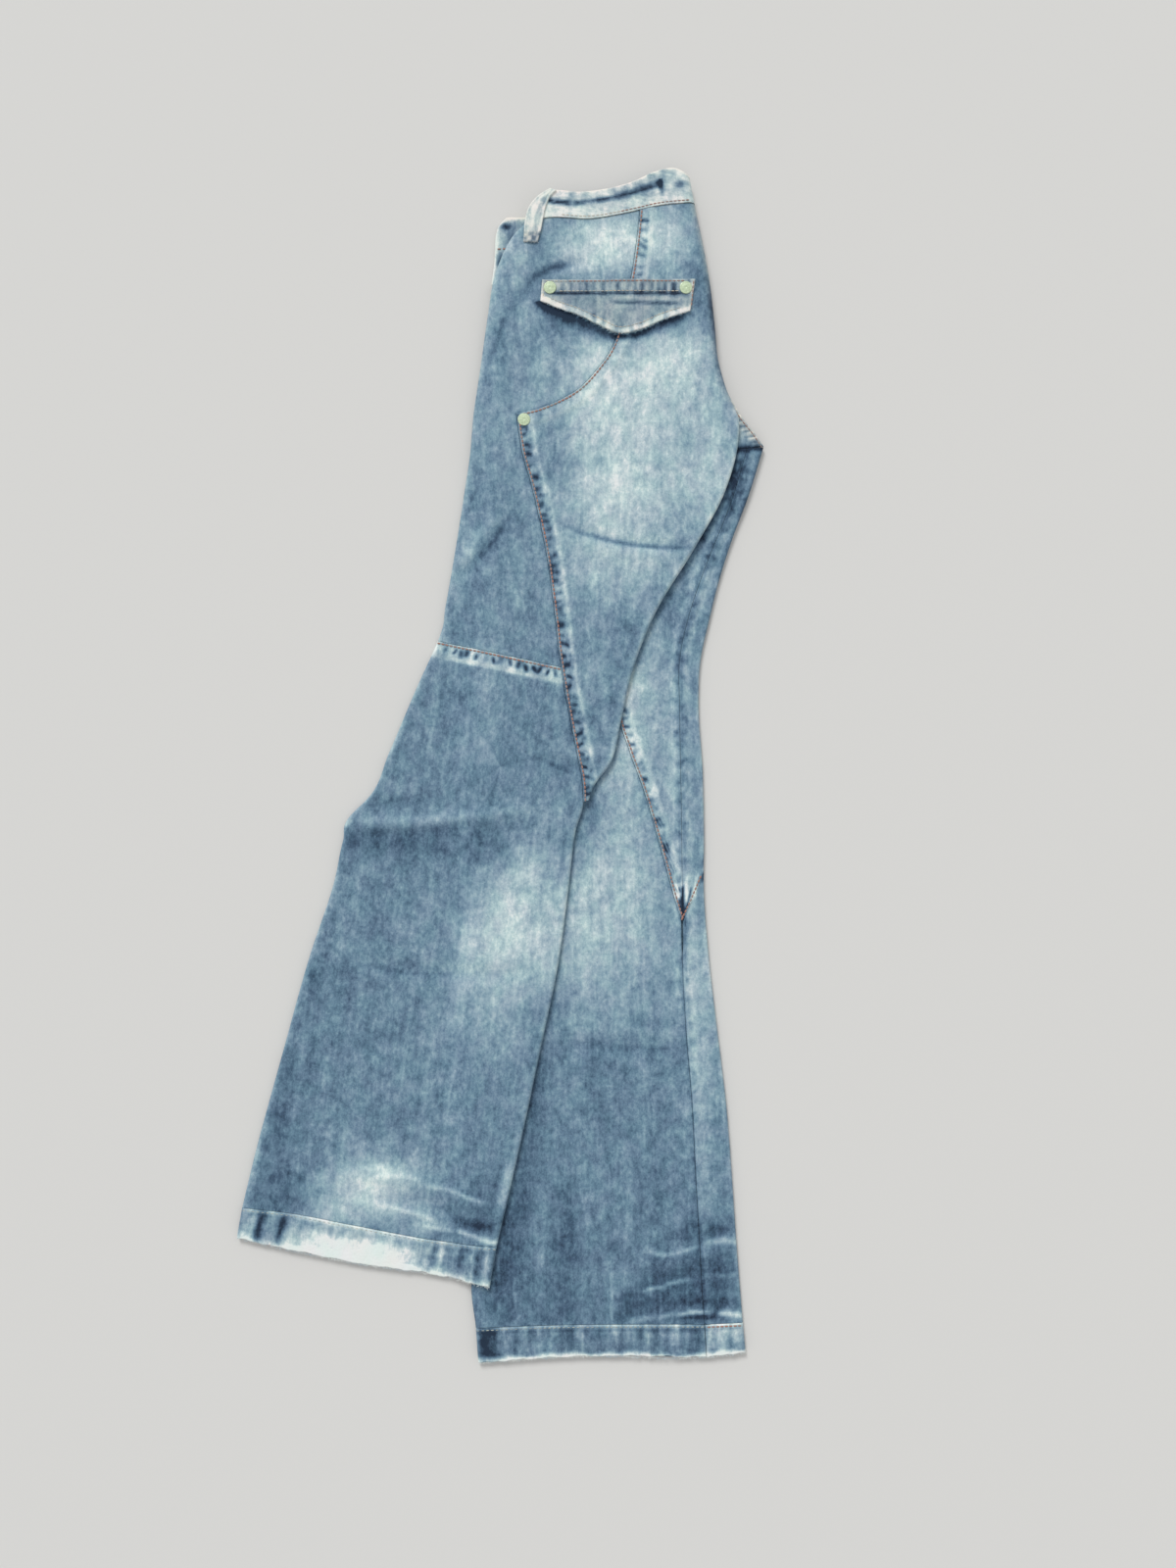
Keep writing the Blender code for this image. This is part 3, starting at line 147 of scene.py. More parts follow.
# Folds and creases: an arc with its rise, width and height, and how much lighter the cloth is on it. That
# lightness is painted highlight on ridges and painted shade in creases and troughs, besides worn pale lines
# and slubs.
Fold = namedtuple("Fold", "startX startY endX endY bow width height tone")
folds = namedRows(Fold, {
    "left": [
        # seat crease, with painted shade in it
        (58, 214, 168, 196, -6, 6, -1.0, 0.0), (60, 206, 160, 186, -6, 9, 0.8, 0.05),
        (60, 211.5, 168, 194, -6, 2.2, -0.25, -0.36), (70, 216, 160, 202, -6, 4, 0.15, 0.06),
        # outer thigh
        (8, 224, -36, 165, 3, 7, -1.1, -0.08), (-4, 222, -40, 178, 3, 7, 1.0, 0.08),
        (7, 221, -26, 180, 3, 2.6, -0.3, -0.18),
        # beside the flap
        (76, 447, 14, 416, -6, 6, -1.0, -0.08), (16, 466, -6, 394, -6, 9, 1.2, 0.08),
        (68, 444, 24, 428, -5, 3.4, -0.3, -0.26), (26, 430, 8, 404, 3, 5, -0.3, -0.18),
        (24, 466, 12, 440, 3, 3, 0.4, 0.12), (14, 462, 2, 424, 3, 2.6, -0.3, -0.12),
        (3, 398, -8, 362, 1, 3.5, -0.45, -0.16), (10, 386, 2, 340, 2, 5, 0.4, 0.06),
        (-14, 350, -22, 262, 2, 5, 0.5, 0.06), (58, 392, 30, 340, -4, 8, 0.5, 0.05),
        (26, 360, 18, 328, 1, 5, -0.4, -0.06), (-10, 290, -26, 232, 2, 6, -0.4, -0.05),
        (20, 176, 4, 118, 2, 6, 0.4, 0.04),
        # knee ridge: painted highlight on it and painted shade below it
        (-134, -52, 24, -37, -5, 9, 1.9, 0.08), (-128, -48, 40, -34, -5, 4, 0.2, 0.09),
        (-134, -59, -20, -48, -5, 5, -0.8, -0.10), (-128, -34, -60, -24, -3, 5, -0.5, -0.08),
        # above the seat panel's tip
        (34, 8, 88, -8, 2, 5, -0.9, -0.05), (22, 8, 66, -6, 1, 3, -0.2, -0.16),
        (76, 60, 96, 10, 2, 5, -0.5, -0.06), (66, 30, 76, -16, 0, 4, 0.3, 0.10),
        # over the seat
        (96, 268, 88, 214, 2, 10, 0.5, 0.05), (150, 300, 138, 226, 3, 9, 0.45, 0.04),
        (70, 290, 60, 230, 2, 8, -0.45, -0.05), (120, 372, 160, 316, 3, 10, 0.4, 0.03),
        (86, 172, 92, 120, -2, 9, 0.4, 0.04), (176, 268, 186, 240, 1, 5, -0.4, -0.05),
        # calf
        (-130, -174, 22, -184, -4, 7, -1.0, -0.03), (-128, -176, -40, -186, -3, 2.2, -0.2, -0.12),
        # the right leg's fold shows through
        (-26, -128, -42, -232, 3, 7, 0.35, 0.10),
        # above the hem
        (-144, -366, -12, -392, 8, 7, 1.2, 0.04), (-120, -384, -10, -410, 3, 6, -0.8, 0.0),
        (-142, -364, -84, -362, 5, 3.2, 0.25, 0.14), (-112, -366, -66, -370, 3, 2.4, 0.25, 0.16),
        (-66, -374, -34, -381, 1, 2.1, 0.3, 0.24), (-38, -380, -12, -388, 0, 2.0, 0.3, 0.32),
        (-118, -388, -56, -408, 2, 2.4, 0.3, 0.16), (-100, -380, -40, -398, 2, 3.5, -0.3, -0.06),
        (-90, -396, -58, -404, 1, 1.8, 0.3, 0.16), (-72, -408, -38, -414, -1, 2.0, 0.35, 0.22),
        (-40, -413, -20, -418, 0, 2.2, 0.35, 0.44), (-22, -418, -1, -423, -1, 2.4, 0.35, 0.46),
        (-44, -402, -8, -410, 0, 3.0, -0.3, -0.18), (-205, -366, -176, -368, 1, 5, -0.3, -0.10),
        (-224, -372, -214, -340, 1, 4, 0.2, 0.08), (0, -392, 9, -352, 1, 4.6, 0.3, 0.26),
        (-8, -398, 2, -350, 1, 3.0, -0.2, -0.12),
        # pale slubs
        (-84, -250, -92, -300, 0, 1.6, 0.05, 0.12), (-40, -262, -50, -318, 0, 1.6, 0.05, 0.12),
        (-60, 40, -66, 6, 0, 1.5, 0.05, 0.10), (-30, 30, -38, -10, 0, 1.5, 0.05, 0.10),
        (-108, -206, -116, -246, 0, 1.6, 0.05, 0.10),
    ],
    "right": [
        # right calf
        (48, -250, 158, -253, 2, 9, -0.9, -0.05), (60, -247, 152, -254, 1, 3.5, -0.15, -0.10),
        (88, -180, 96, -240, 1, 7, 0.35, 0.03), (136, -190, 140, -240, 1, 6, -0.3, -0.04),
        (60, -330, 40, -420, 2, 9, 0.4, 0.03), (100, -300, 92, -380, 2, 9, -0.35, -0.03),
        # above the right hem
        (128, -440, 206, -428, -4, 6, 0.8, 0.0), (129, -430, 152, -435, -2, 2.2, 0.3, 0.30),
        (150, -435, 176, -427, -1, 2.0, 0.3, 0.30), (178, -427, 211, -424, 3, 3.2, 0.3, 0.34),
        (182, -416, 212, -414, 1, 4.0, -0.3, -0.14), (124, -469, 146, -464, 1, 2.1, 0.3, 0.30),
        (144, -463, 173, -457, 1, 2.0, 0.3, 0.30), (176, -455, 210, -454, 1, 2.8, 0.2, 0.20),
        (120, -456, 192, -458, 3, 6, -0.7, -0.06), (112, -496, 142, -490, 1, 2.6, 0.3, 0.24),
        (138, -492, 156, -488, 0, 2.2, 0.3, 0.20), (156, -489, 188, -486, 1, 2.0, 0.3, 0.46),
        (192, -488, 217, -490, 1, 2.4, 0.3, 0.56), (150, -477, 214, -478, 0, 5, -0.3, -0.14),
        (158, -492, 198, -491, 1, 1.8, -0.3, -0.26), (186, -494, 194, -484, 0, 2.4, -0.3, -0.20),
        (72, -380, 76, -408, 0, 1.3, 0.05, 0.14), (98, -450, 99, -496, 0, 1.3, 0.05, 0.26),
        (36, -414, 38, -450, 0, 1.4, 0.05, 0.14), (12, -454, 13, -480, 0, 1.3, 0.05, 0.18),
        (116, -400, 119, -440, 0, 1.4, 0.05, 0.10),
    ],
})

# Faded and dark patches: middle, half sizes across and along, lean in degrees, lightness added. Some dark
# ones are painted shadow beside the upper leg's edge and painted shade below the knee ridge and at the hip's
# rolled edge; one light one is a painted highlight on the knee ridge.
Patch = namedtuple("Patch", "x y across along lean tone")
patches = namedRows(Patch, {
    "left": [
        # hip; its dark patches at the rolled right edge and below the belt loop's end are painted shade
        (94, 464, 38, 26, 0, 0.52), (152, 468, 32, 30, 0, 0.31), (14, 436, 14, 40, 0, 0.13),
        (34, 460, 9, 7, 0, -0.12), (71, 443, 16, 10, 0, 0.12), (177, 436, 9, 46, 0, -0.17),
        # seat
        (122, 300, 82, 104, -6, 0.38), (108, 344, 30, 34, 0, 0.08), (84, 262, 42, 44, 0, 0.02),
        (114, 255, 12, 14, 0, 0.15), (62, 286, 14, 10, 0, 0.15), (78, 332, 18, 34, 0, 0.11),
        (42, 258, 12, 14, 0, -0.11), (154, 278, 20, 20, 0, -0.07), (96, 232, 44, 26, 0, 0.14),
        (158, 362, 34, 20, 0, 0.19), (174, 382, 14, 22, 0, 0.14), (194, 288, 11, 44, 0, 0.14),
        (182, 322, 14, 18, 0, 0.09), (69, 254, 8, 18, 0, 0.12), (92, 322, 20, 16, 0, 0.08),
        (84, 366, 22, 20, 0, 0.10), (112, 374, 12, 14, 0, -0.08), (112, 396, 34, 10, 0, 0.20),
        (50, 288, 20, 24, 0, -0.14), (180, 245, 18, 30, 8, 0.20), (96, 176, 44, 32, 0, 0.22),
        (142, 184, 18, 14, 30, 0.04), (154, 166, 7, 18, 0, 0.12), (160, 396, 26, 14, 0, -0.10),
        # side
        (52, 386, 16, 18, 0, -0.12), (34, 330, 30, 48, 0, 0.05), (-6, 284, 18, 30, 10, 0.05),
        (44, 456, 18, 14, 0, 0.05), (-30, 186, 8, 34, 10, 0.15), (24, 180, 14, 16, 0, 0.08),
        (51, 140, 8, 34, -4, 0.08), (-8, 84, 15, 84, 6, 0.09), (60, 112, 14, 34, 0, 0.05),
        (88, 78, 18, 30, 20, 0.10), (92, 24, 13, 20, 0, 0.18), (74, 32, 8, 18, 0, -0.12),
        (-44, 58, 12, 12, 0, -0.10), (-53, 109, 9, 7, 0, 0.16), (60, 12, 22, 8, -8, 0.10),
        # below the knee seam
        (10, -16, 20, 14, 0, -0.07), (52, -42, 14, 14, 0, 0.08),
        # knee fade, with painted shade below the knee ridge and a painted highlight on it
        (6, -148, 36, 58, 14, 0.46), (26, -92, 16, 24, 14, 0.18), (52, -117, 12, 18, 0, 0.12),
        (48, -158, 16, 46, 10, 0.21), (-14, -226, 40, 42, 10, 0.09), (-66, -168, 24, 44, 8, 0.04),
        (-74, -68, 62, 14, 4, -0.17), (-126, -47, 12, 5, 4, 0.12), (-8, -56, 18, 22, 0, -0.12),
        (-136, -68, 20, 12, 4, -0.12), (-166, -196, 30, 30, 0, -0.09), (-117, -241, 14, 18, 0, -0.08),
        (-196, -292, 24, 74, 14, -0.12),
        # above the hem
        (-118, -374, 40, 25, -6, 0.43), (-150, -400, 34, 14, -10, 0.12), (-78, -392, 60, 14, -10, 0.08),
        (-74, -350, 22, 18, 0, 0.08), (-24, -382, 26, 18, 0, -0.18), (-22, -410, 22, 8, -12, -0.28),
        (-64, -409, 18, 7, -12, 0.22), (-196, -384, 22, 18, 0, -0.16), (24, -300, 8, 60, 12, 0.02),
    ],
    "right": [
        # fade below the knee; the dark patches beside the upper leg's tip are painted shadow
        (94, -110, 40, 100, 10, 0.32), (130, -178, 38, 58, 0, 0.13), (60, -140, 20, 50, 10, 0.13),
        (72, -216, 10, 16, 0, 0.06), (134, -184, 14, 14, 0, -0.08), (84, -44, 12, 22, 20, -0.22),
        (72, -82, 9, 16, 0, -0.12), (106, 0, 22, 50, 10, 0.08), (115, 76, 10, 16, 0, 0.46),
        # wedge
        (136, 66, 26, 66, 6, 0.18), (134, 120, 10, 20, -20, 0.10), (178, 176, 11, 28, -20, 0.16),
        (151, 160, 12, 9, -20, 0.12), (152, 126, 10, 15, -20, -0.10), (120, 24, 14, 30, 14, 0.10),
        (108, -8, 12, 18, 0, 0.09), (150, -10, 9, 44, -6, 0.14), (161, -46, 6, 50, 0, 0.17),
        (136, -98, 14, 36, 0, 0.08), (148, -64, 7, 12, 0, -0.12), (172, -6, 8, 110, 0, 0.06),
        (178, -118, 8, 20, 0, -0.18),
        # beside the inseam; the dark patches along the upper leg's edge are painted shadow
        (178, -190, 14, 70, 0, 0.22), (181, -286, 10, 44, 0, 0.20), (182, -384, 12, 20, 0, 0.06),
        (92, -291, 14, 34, 0, -0.13), (34, -290, 8, 50, 12, -0.14), (51, -362, 7, 38, 6, -0.10),
        (92, -340, 10, 30, 0, 0.07), (22, -366, 12, 60, 12, -0.08), (10, -418, 13, 44, 12, -0.20),
        (2, -462, 26, 30, 0, -0.14), (60, -434, 18, 60, 0, -0.15), (50, -486, 60, 14, 0, -0.08),
        (134, -372, 22, 30, 0, -0.10), (126, -482, 30, 16, 0, -0.20), (172, -458, 46, 34, 8, -0.22),
        (176, -412, 22, 16, 0, -0.12), (198, -444, 12, 40, 0, -0.09),
        # below the crotch: painted shadow beside the upper leg's thick edge
        (214, 230, 12, 40, -24, -0.16),
    ],
})


# curves and sections

def runningLength(points):
    return np.concatenate([[0.0], np.cumsum(np.linalg.norm(np.diff(points, axis=0), axis=1))])


def smoothLine(points, knots=None, corner=None):
    # a cubic through the points, as a function of t from 0 to 1, with one sharp corner at most
    pts = np.array(points, dtype=float)
    if knots is None:
        knots = runningLength(pts)
    knots = (np.array(knots) - knots[0]) / (knots[-1] - knots[0])
    chords = np.diff(pts, axis=0) / np.diff(knots)[:, None]
    after = np.vstack([chords, chords[-1]])
    before = np.vstack([chords[0], chords])
    if len(pts) > 2:
        smooth = np.gradient(pts, knots, axis=0)
        keep = np.array([i in (0, len(pts) - 1, corner) for i in range(len(pts))])[:, None]
        after = np.where(keep, after, smooth)
        before = np.where(keep, before, smooth)

    def at(t):
        t = np.clip(np.atleast_1d(np.asarray(t, dtype=float)), 0.0, 1.0)
        i = np.clip(np.searchsorted(knots, t, side="right") - 1, 0, len(knots) - 2)
        span = (knots[i + 1] - knots[i])[:, None]
        s = (t - knots[i])[:, None] / span
        start = (2 * s**3 - 3 * s**2 + 1) * pts[i] + (s**3 - 2 * s**2 + s) * span * after[i]
        end = (3 * s**2 - 2 * s**3) * pts[i + 1] + (s**3 - s**2) * span * before[i + 1]
        return start + end

    return at


def stretch(curve, start, end):
    return lambda t: curve(start + (end - start) * np.atleast_1d(np.asarray(t, dtype=float)))


def sampled(curve, count):
    return curve(np.linspace(0, 1, count))


def smoothed(points, count):
    return sampled(smoothLine(points), count)


def column(table, edge):
    return [Point(getattr(row, edge + "X"), getattr(row, edge + "Y")) for row in table]


def knotsOf(table):
    along = runningLength(column(table, "inner"))
    return along / along[-1]


def indexOf(table, name):
    return [row.name for row in table].index(name)


def station(table, name):
    return knotsOf(table)[indexOf(table, name)]


def shareOf(table, start, middle, end):
    first, last = station(table, start), station(table, end)
    return (station(table, middle) - first) / (last - first)


def edgeOf(table, edge, start, end):
    turn = "rivet" if table is leftLeg else "V"
    corner = indexOf(table, turn) if edge == "seam" else None
    whole = smoothLine(column(table, edge), knotsOf(table), corner)
    return stretch(whole, station(table, start), station(table, end))


def rowsBetween(table, start, end, spacing):
    # row places from 0 to 1 that pass through every section, no further apart than spacing
    knots = knotsOf(table)
    first, last = indexOf(table, start), indexOf(table, end)
    edges = ("inner", "side") if table is leftLeg else ("inner",)
    lengths = [runningLength(column(table, edge)) for edge in edges]
    places = [knots[first]]
    for i in range(first, last):
        count = max(1, round(max(length[i + 1] - length[i] for length in lengths) / spacing))
        places += list(knots[i] + (knots[i + 1] - knots[i]) * np.arange(1, count + 1) / count)
    places = np.array(places)
    return (places - places[0]) / (places[-1] - places[0])


def smoothStep(low, high, value):
    t = np.clip((value - low) / (high - low), 0, 1)
    return t * t * (3 - 2 * t)


def bell(value, width, power=2):
    # 1 in the middle, falling off on both sides
    return np.exp(-(value / width)**power)


def spot(x, y, middleX, middleY, across, along):
    return np.exp(-((x - middleX) / across)**2 - ((y - middleY) / along)**2)


def nearLine(line, x, y):
    # distance to a sampled line, +1 where a point lies on its left, and the place along it
    start, run = line[:-1], np.diff(line, axis=0)
    dx, dy = x[..., None] - start[:, 0], y[..., None] - start[:, 1]
    share = np.clip((dx * run[:, 0] + dy * run[:, 1]) / (run**2).sum(axis=1), 0, 1)
    away = np.hypot(dx - share * run[:, 0], dy - share * run[:, 1])
    nearest = away.argmin(axis=-1)[..., None]
    cross = np.take_along_axis(run[:, 0] * dy - run[:, 1] * dx, nearest, -1)[..., 0]
    along = runningLength(line)[:-1] + share * np.linalg.norm(run, axis=1)
    return away.min(axis=-1), np.where(cross > 0, 1, -1), np.take_along_axis(along, nearest, -1)[..., 0]


def pointAt(line, along, marks):
    return np.stack([np.interp(marks, along, line[:, k]) for k in range(2)], axis=-1)


def inset(points, distance):
    # a line moved to its left as it runs
    pts = np.array(points, dtype=float)
    run = np.gradient(pts, axis=0)
    left = np.column_stack([-run[:, 1], run[:, 0]]) / np.linalg.norm(run, axis=1)[:, None]
    return pts + left * distance


def spaced(line, spacing):
    along = runningLength(line)
    marks = np.linspace(0, along[-1], max(2, round(along[-1] / spacing) + 1))
    return pointAt(line, along, marks)


def wobble(x, y, size, seed):
    # a gentle unevenness from -1 to 1: five long waves in different directions
    random = np.random.default_rng(seed)
    total = 0
    for _ in range(5):
        angle, phase = random.uniform(0, 2 * pi, 2)
        wave = size * random.uniform(0.6, 1.6)
        total = total + np.sin((x * cos(angle) + y * sin(angle)) * 2 * pi / wave + phase)
    return total / 5


# heights of the faces above the floor

def foldShape(fold, x, y):
    runX, runY = fold.endX - fold.startX, fold.endY - fold.startY
    length = np.hypot(runX, runY)
    along = ((x - fold.startX) * runX + (y - fold.startY) * runY) / length**2
    across = (-(x - fold.startX) * runY + (y - fold.startY) * runX) / length
    across = across - fold.bow * 4 * along * (1 - along)
    taper = smoothStep(-0.12, 0.25, along) * (1 - smoothStep(0.75, 1.12, along))
    return taper * bell(across, fold.width)


def foldSum(leg, what, x, y):
    total = np.zeros_like(x)
    for fold in folds[leg]:
        if getattr(fold, what):
            total += getattr(fold, what) * foldShape(fold, x, y)
    return total


hipLine = sampled(edgeOf(leftLeg, "seam", "waist", "rivet"), 60)
seatLine = sampled(edgeOf(leftLeg, "seam", "rivet", "tip"), 60)
kneeLine = np.array([column(leftLeg, edge)[indexOf(leftLeg, "knee seam")] for edge in ("side", "seam")])
slantLine = sampled(edgeOf(rightLeg, "seam", "seam in sight", "V"), 40)
inseamLine = sampled(edgeOf(rightLeg, "inseam", "crotch", "hem stitching"), 80)
sideLine = sampled(edgeOf(leftLeg, "side", "waist", "hem stitching"), 80)
innerLine = sampled(edgeOf(leftLeg, "inner", "waist", "hem stitching"), 80)
rightFoldLine = sampled(edgeOf(rightLeg, "inner", "crotch", "hem stitching"), 60)


def lap(distance):
    inner, outer = lapSeam["width"] - lapSeam["edge"], lapSeam["width"] + lapSeam["edge"]
    return lapSeam["raise"] * (1 - smoothStep(inner, outer, distance))


def leftBase(x, y):
    fold = sorted(rightOuterFold, key=lambda p: p.y)
    beyond = x - np.interp(y, [p.y for p in fold], [p.x for p in fold])
    rise = np.interp(y, lift["places"], lift["heights"])
    return lift["legThick"] + rise * smoothStep(lift["rampOut"], lift["rampIn"], beyond)


def leftHeight(x, y):
    return leftBase(x, y) + foldSum("left", "height", x, y) + 0.12 * wobble(x, y, 46, 3)


def seatHeight(x, y):
    seam = np.minimum(nearLine(hipLine, x, y)[0], nearLine(seatLine, x, y)[0])
    return leftHeight(x, y) + lap(seam)


def lowerHeight(x, y):
    return leftHeight(x, y) + lap(nearLine(kneeLine, x, y)[0])


def leftHemHeight(x, y):
    return leftHeight(x, y) + lapSeam["hemRaise"]


def rightBase(x, y):
    return lift["legThick"] + lift["crotch"] * smoothStep(lift["crotchFrom"], lift["crotchTo"], y)


def rightHeight(x, y):
    distance = nearLine(inseamLine, x, y)[0]
    fell = lapSeam["raise"] * (1 - smoothStep(lapSeam["fell"] - 2, lapSeam["fell"] + 2, distance))
    return rightBase(x, y) + fell + foldSum("right", "height", x, y) + 0.1 * wobble(x, y, 52, 8)


def wedgeHeight(x, y):
    fell = rightHeight(x, y)
    return fell + np.maximum(lap(nearLine(slantLine, x, y)[0]) - (fell - rightBase(x, y)), 0)


def rightHemHeight(x, y):
    return rightBase(x, y) + lapSeam["hemRaise"]


def around(height, x, y, reach):
    return [height(x, y)] + [height(x + reach * cos(a), y + reach * sin(a)) for a in np.arange(8) * pi / 4]


def highestNear(height, x, y, reach=9.0):
    return np.maximum.reduce(around(height, x, y, reach))


def onFloor(x, y):
    return np.full_like(x, foldUnder["floor"])


def onRightLeg(x, y):
    leg = highestNear(wedgeHeight, x, y) + cloth["layGap"]
    lifted = 1 - smoothStep(foldUnder["wrapFrom"], foldUnder["wrapTo"], y)
    return foldUnder["floor"] + (leg - foldUnder["floor"]) * lifted


def onOwnThickness(x, y):
    corner = foldUnder["cornerHeight"] * smoothStep(foldUnder["cornerFrom"], foldUnder["cornerTo"], y)
    return np.maximum(np.maximum(leftHeight(x, y) - lift["legThick"], foldUnder["floor"]), corner)


# puckers along a sewn seam: uneven troughs on one side of its line, and the light ridge beyond them
Seam = namedtuple("Seam", "line side reach spacing width middle deep light dark edge ridge seed")
seams = {
    "hip": Seam(hipLine[:32], 1, 4.2, 7.4, 1.8, 5.6, 0.40, 0.06, 0.62, 12, 0.08, 21),
    "curve": Seam(hipLine[31:], 1, 3.0, 12.0, 2.6, 4.5, 0.15, 0.06, 0.16, 10, 0.05, 28),
    "seat": Seam(seatLine, 1, 3.3, 8.2, 2.3, 4.8, 0.50, 0.10, 0.56, 12, 0.20, 22),
    "seatOuter": Seam(seatLine, 1, 2.2, 9.0, 1.8, 9.0, 0.20, 0.0, 0.22, 12, 0.0, 27),
    "knee": Seam(kneeLine, -1, 3.4, 7.6, 2.0, 6.2, 0.45, 0.34, 0.74, 13.5, 0.06, 23),
    "slant": Seam(slantLine, 1, 3.2, 7.8, 1.9, 4.6, 0.50, 0.18, 0.66, 11, 0.04, 24),
    "fellBack": Seam(inseamLine, 1, 3.0, 13.0, 3.0, 3.6, 0.25, 0.08, 0.20, 8, 0.05, 25),
    "fellFront": Seam(inseamLine, -1, 2.6, 13.0, 2.6, 3.6, 0.25, 0.08, 0.24, 7, 0.04, 26),
}
Marks = namedtuple("Marks", "place strength width middle reach slant")


def unevenMarks(seam):
    random = np.random.default_rng(seam.seed)
    length = runningLength(seam.line)[-1]
    places = np.cumsum(seam.spacing * random.uniform(0.62, 1.42, int(length / seam.spacing) + 6))
    places = places[places < length]
    count = len(places)
    strengths = random.uniform(0.4, 1.2, count)
    widths = seam.width * random.uniform(0.65, 1.5, count)
    middles = seam.middle + random.uniform(-1.3, 1.3, count)
    reaches = seam.reach * random.uniform(0.75, 1.25, count)
    return Marks(places, strengths, widths, middles, reaches, random.uniform(-0.5, 0.5, count))


def pucker(name, x, y):
    # (height, lightness) that a seam's puckers add at a point
    seam = seams[name]
    marks = unevenMarks(seam)
    distance, side, along = nearLine(seam.line, x, y)
    on = ((side == seam.side) | (distance < 0.2)) * (distance < seam.edge + 12)
    out = distance[..., None] - marks.middle
    place = (along[..., None] + marks.slant * out - marks.place) / marks.width
    shape = np.exp(-place**2) * bell(out, marks.reach, 4)
    trough = np.minimum((marks.strength * shape).sum(axis=-1), 1.2)
    uneven = 1 + 0.5 * np.sin(along / 9.5 + seam.seed) * np.sin(along / 4.1)
    strip = 1 - smoothStep(seam.edge - 1, seam.edge + 3, distance)
    ridge = bell(distance - seam.edge, 2.4) * uneven
    # painted shadow along the row of stitches, where the thread sits on the cloth
    stitchShadow = bell(distance - 1.7, 1.5)
    tone = seam.light * strip * uneven + seam.ridge * ridge - seam.dark * trough
    tone = tone - 0.16 * stitchShadow * (seam.light > 0)
    return -seam.deep * trough * on, tone * on


def puckers(names, x, y):
    pairs = [pucker(name, x, y) for name in names]
    return sum(p[0] for p in pairs), sum(p[1] for p in pairs)


def patchSum(leg, x, y):
    total = np.zeros_like(x)
    for patch in patches[leg]:
        lean = patch.lean * pi / 180
        across = (x - patch.x) * cos(lean) - (y - patch.y) * sin(lean)
        along = (x - patch.x) * sin(lean) + (y - patch.y) * cos(lean)
        total += patch.tone * spot(across, along, 0, 0, patch.across, patch.along)
    return total


def legTone(leg, x, y):
    # a leg's lightness: faded and dark patches and fold lines, with painted highlight and shade among them
    mottle = 0.025 * wobble(x, y, 34, 5) + 0.02 * wobble(x, y, 15, 6)
    return 0.405 + patchSum(leg, x, y) + foldSum(leg, "tone", x, y) + mottle


def edgeWear(line, x, y, amount, width):
    distance, _, along = nearLine(line, x, y)
    uneven = 0.75 + 0.25 * np.sin(along / 17) * np.sin(along / 5.3 + 1)
    return amount * uneven * bell(distance, width)


# cloth panels: a wall between two edges, folded edges rolled round and tucked back underneath
Edge = namedtuple("Edge", "curve kind rest tuck start", defaults=(onFloor, foldUnder["tuck"], 0.0))
foldAngles = np.linspace(pi / 2, 0, 7)
underAngles = np.linspace(pi / 2, pi, 6)[1:]
edgeSteps = np.array([0.0, 0.12, 0.35, 0.7, 1.0, 1.8])   # share of the rounding at an edge


def endRows(rows, length, rounding):
    # adds rows close to both ends, where the cloth's edge is round
    near = edgeSteps[1:] * rounding / length
    inner = rows[(rows > near[-1] * 1.3) & (rows < 1 - near[-1] * 1.3)]
    return np.concatenate([[0.0], near, inner, (1 - near)[::-1], [1.0]])


def roundOff(distance, rounding):
    # how far a rounded edge falls below the face at a distance from it
    out = 1 - np.clip(distance / rounding, 0, 1)
    return rounding * (1 - np.sqrt(1 - out**2))


def layOn(points, wanted, end, reach=60.0):
    shift = wanted - points[end]
    along = runningLength(points[:, points.shape[1] // 2])
    away = along if end == 0 else along[-1] - along
    weight = (1 - np.clip(away / min(reach, along[-1]), 0, 1))**2
    return points + weight[:, None, None] * shift


def drawBack(points, end, gap):
    run = points[1 if end == 0 else -2] - points[end]
    points[end] += run / np.linalg.norm(run, axis=1)[:, None] * gap
    return points


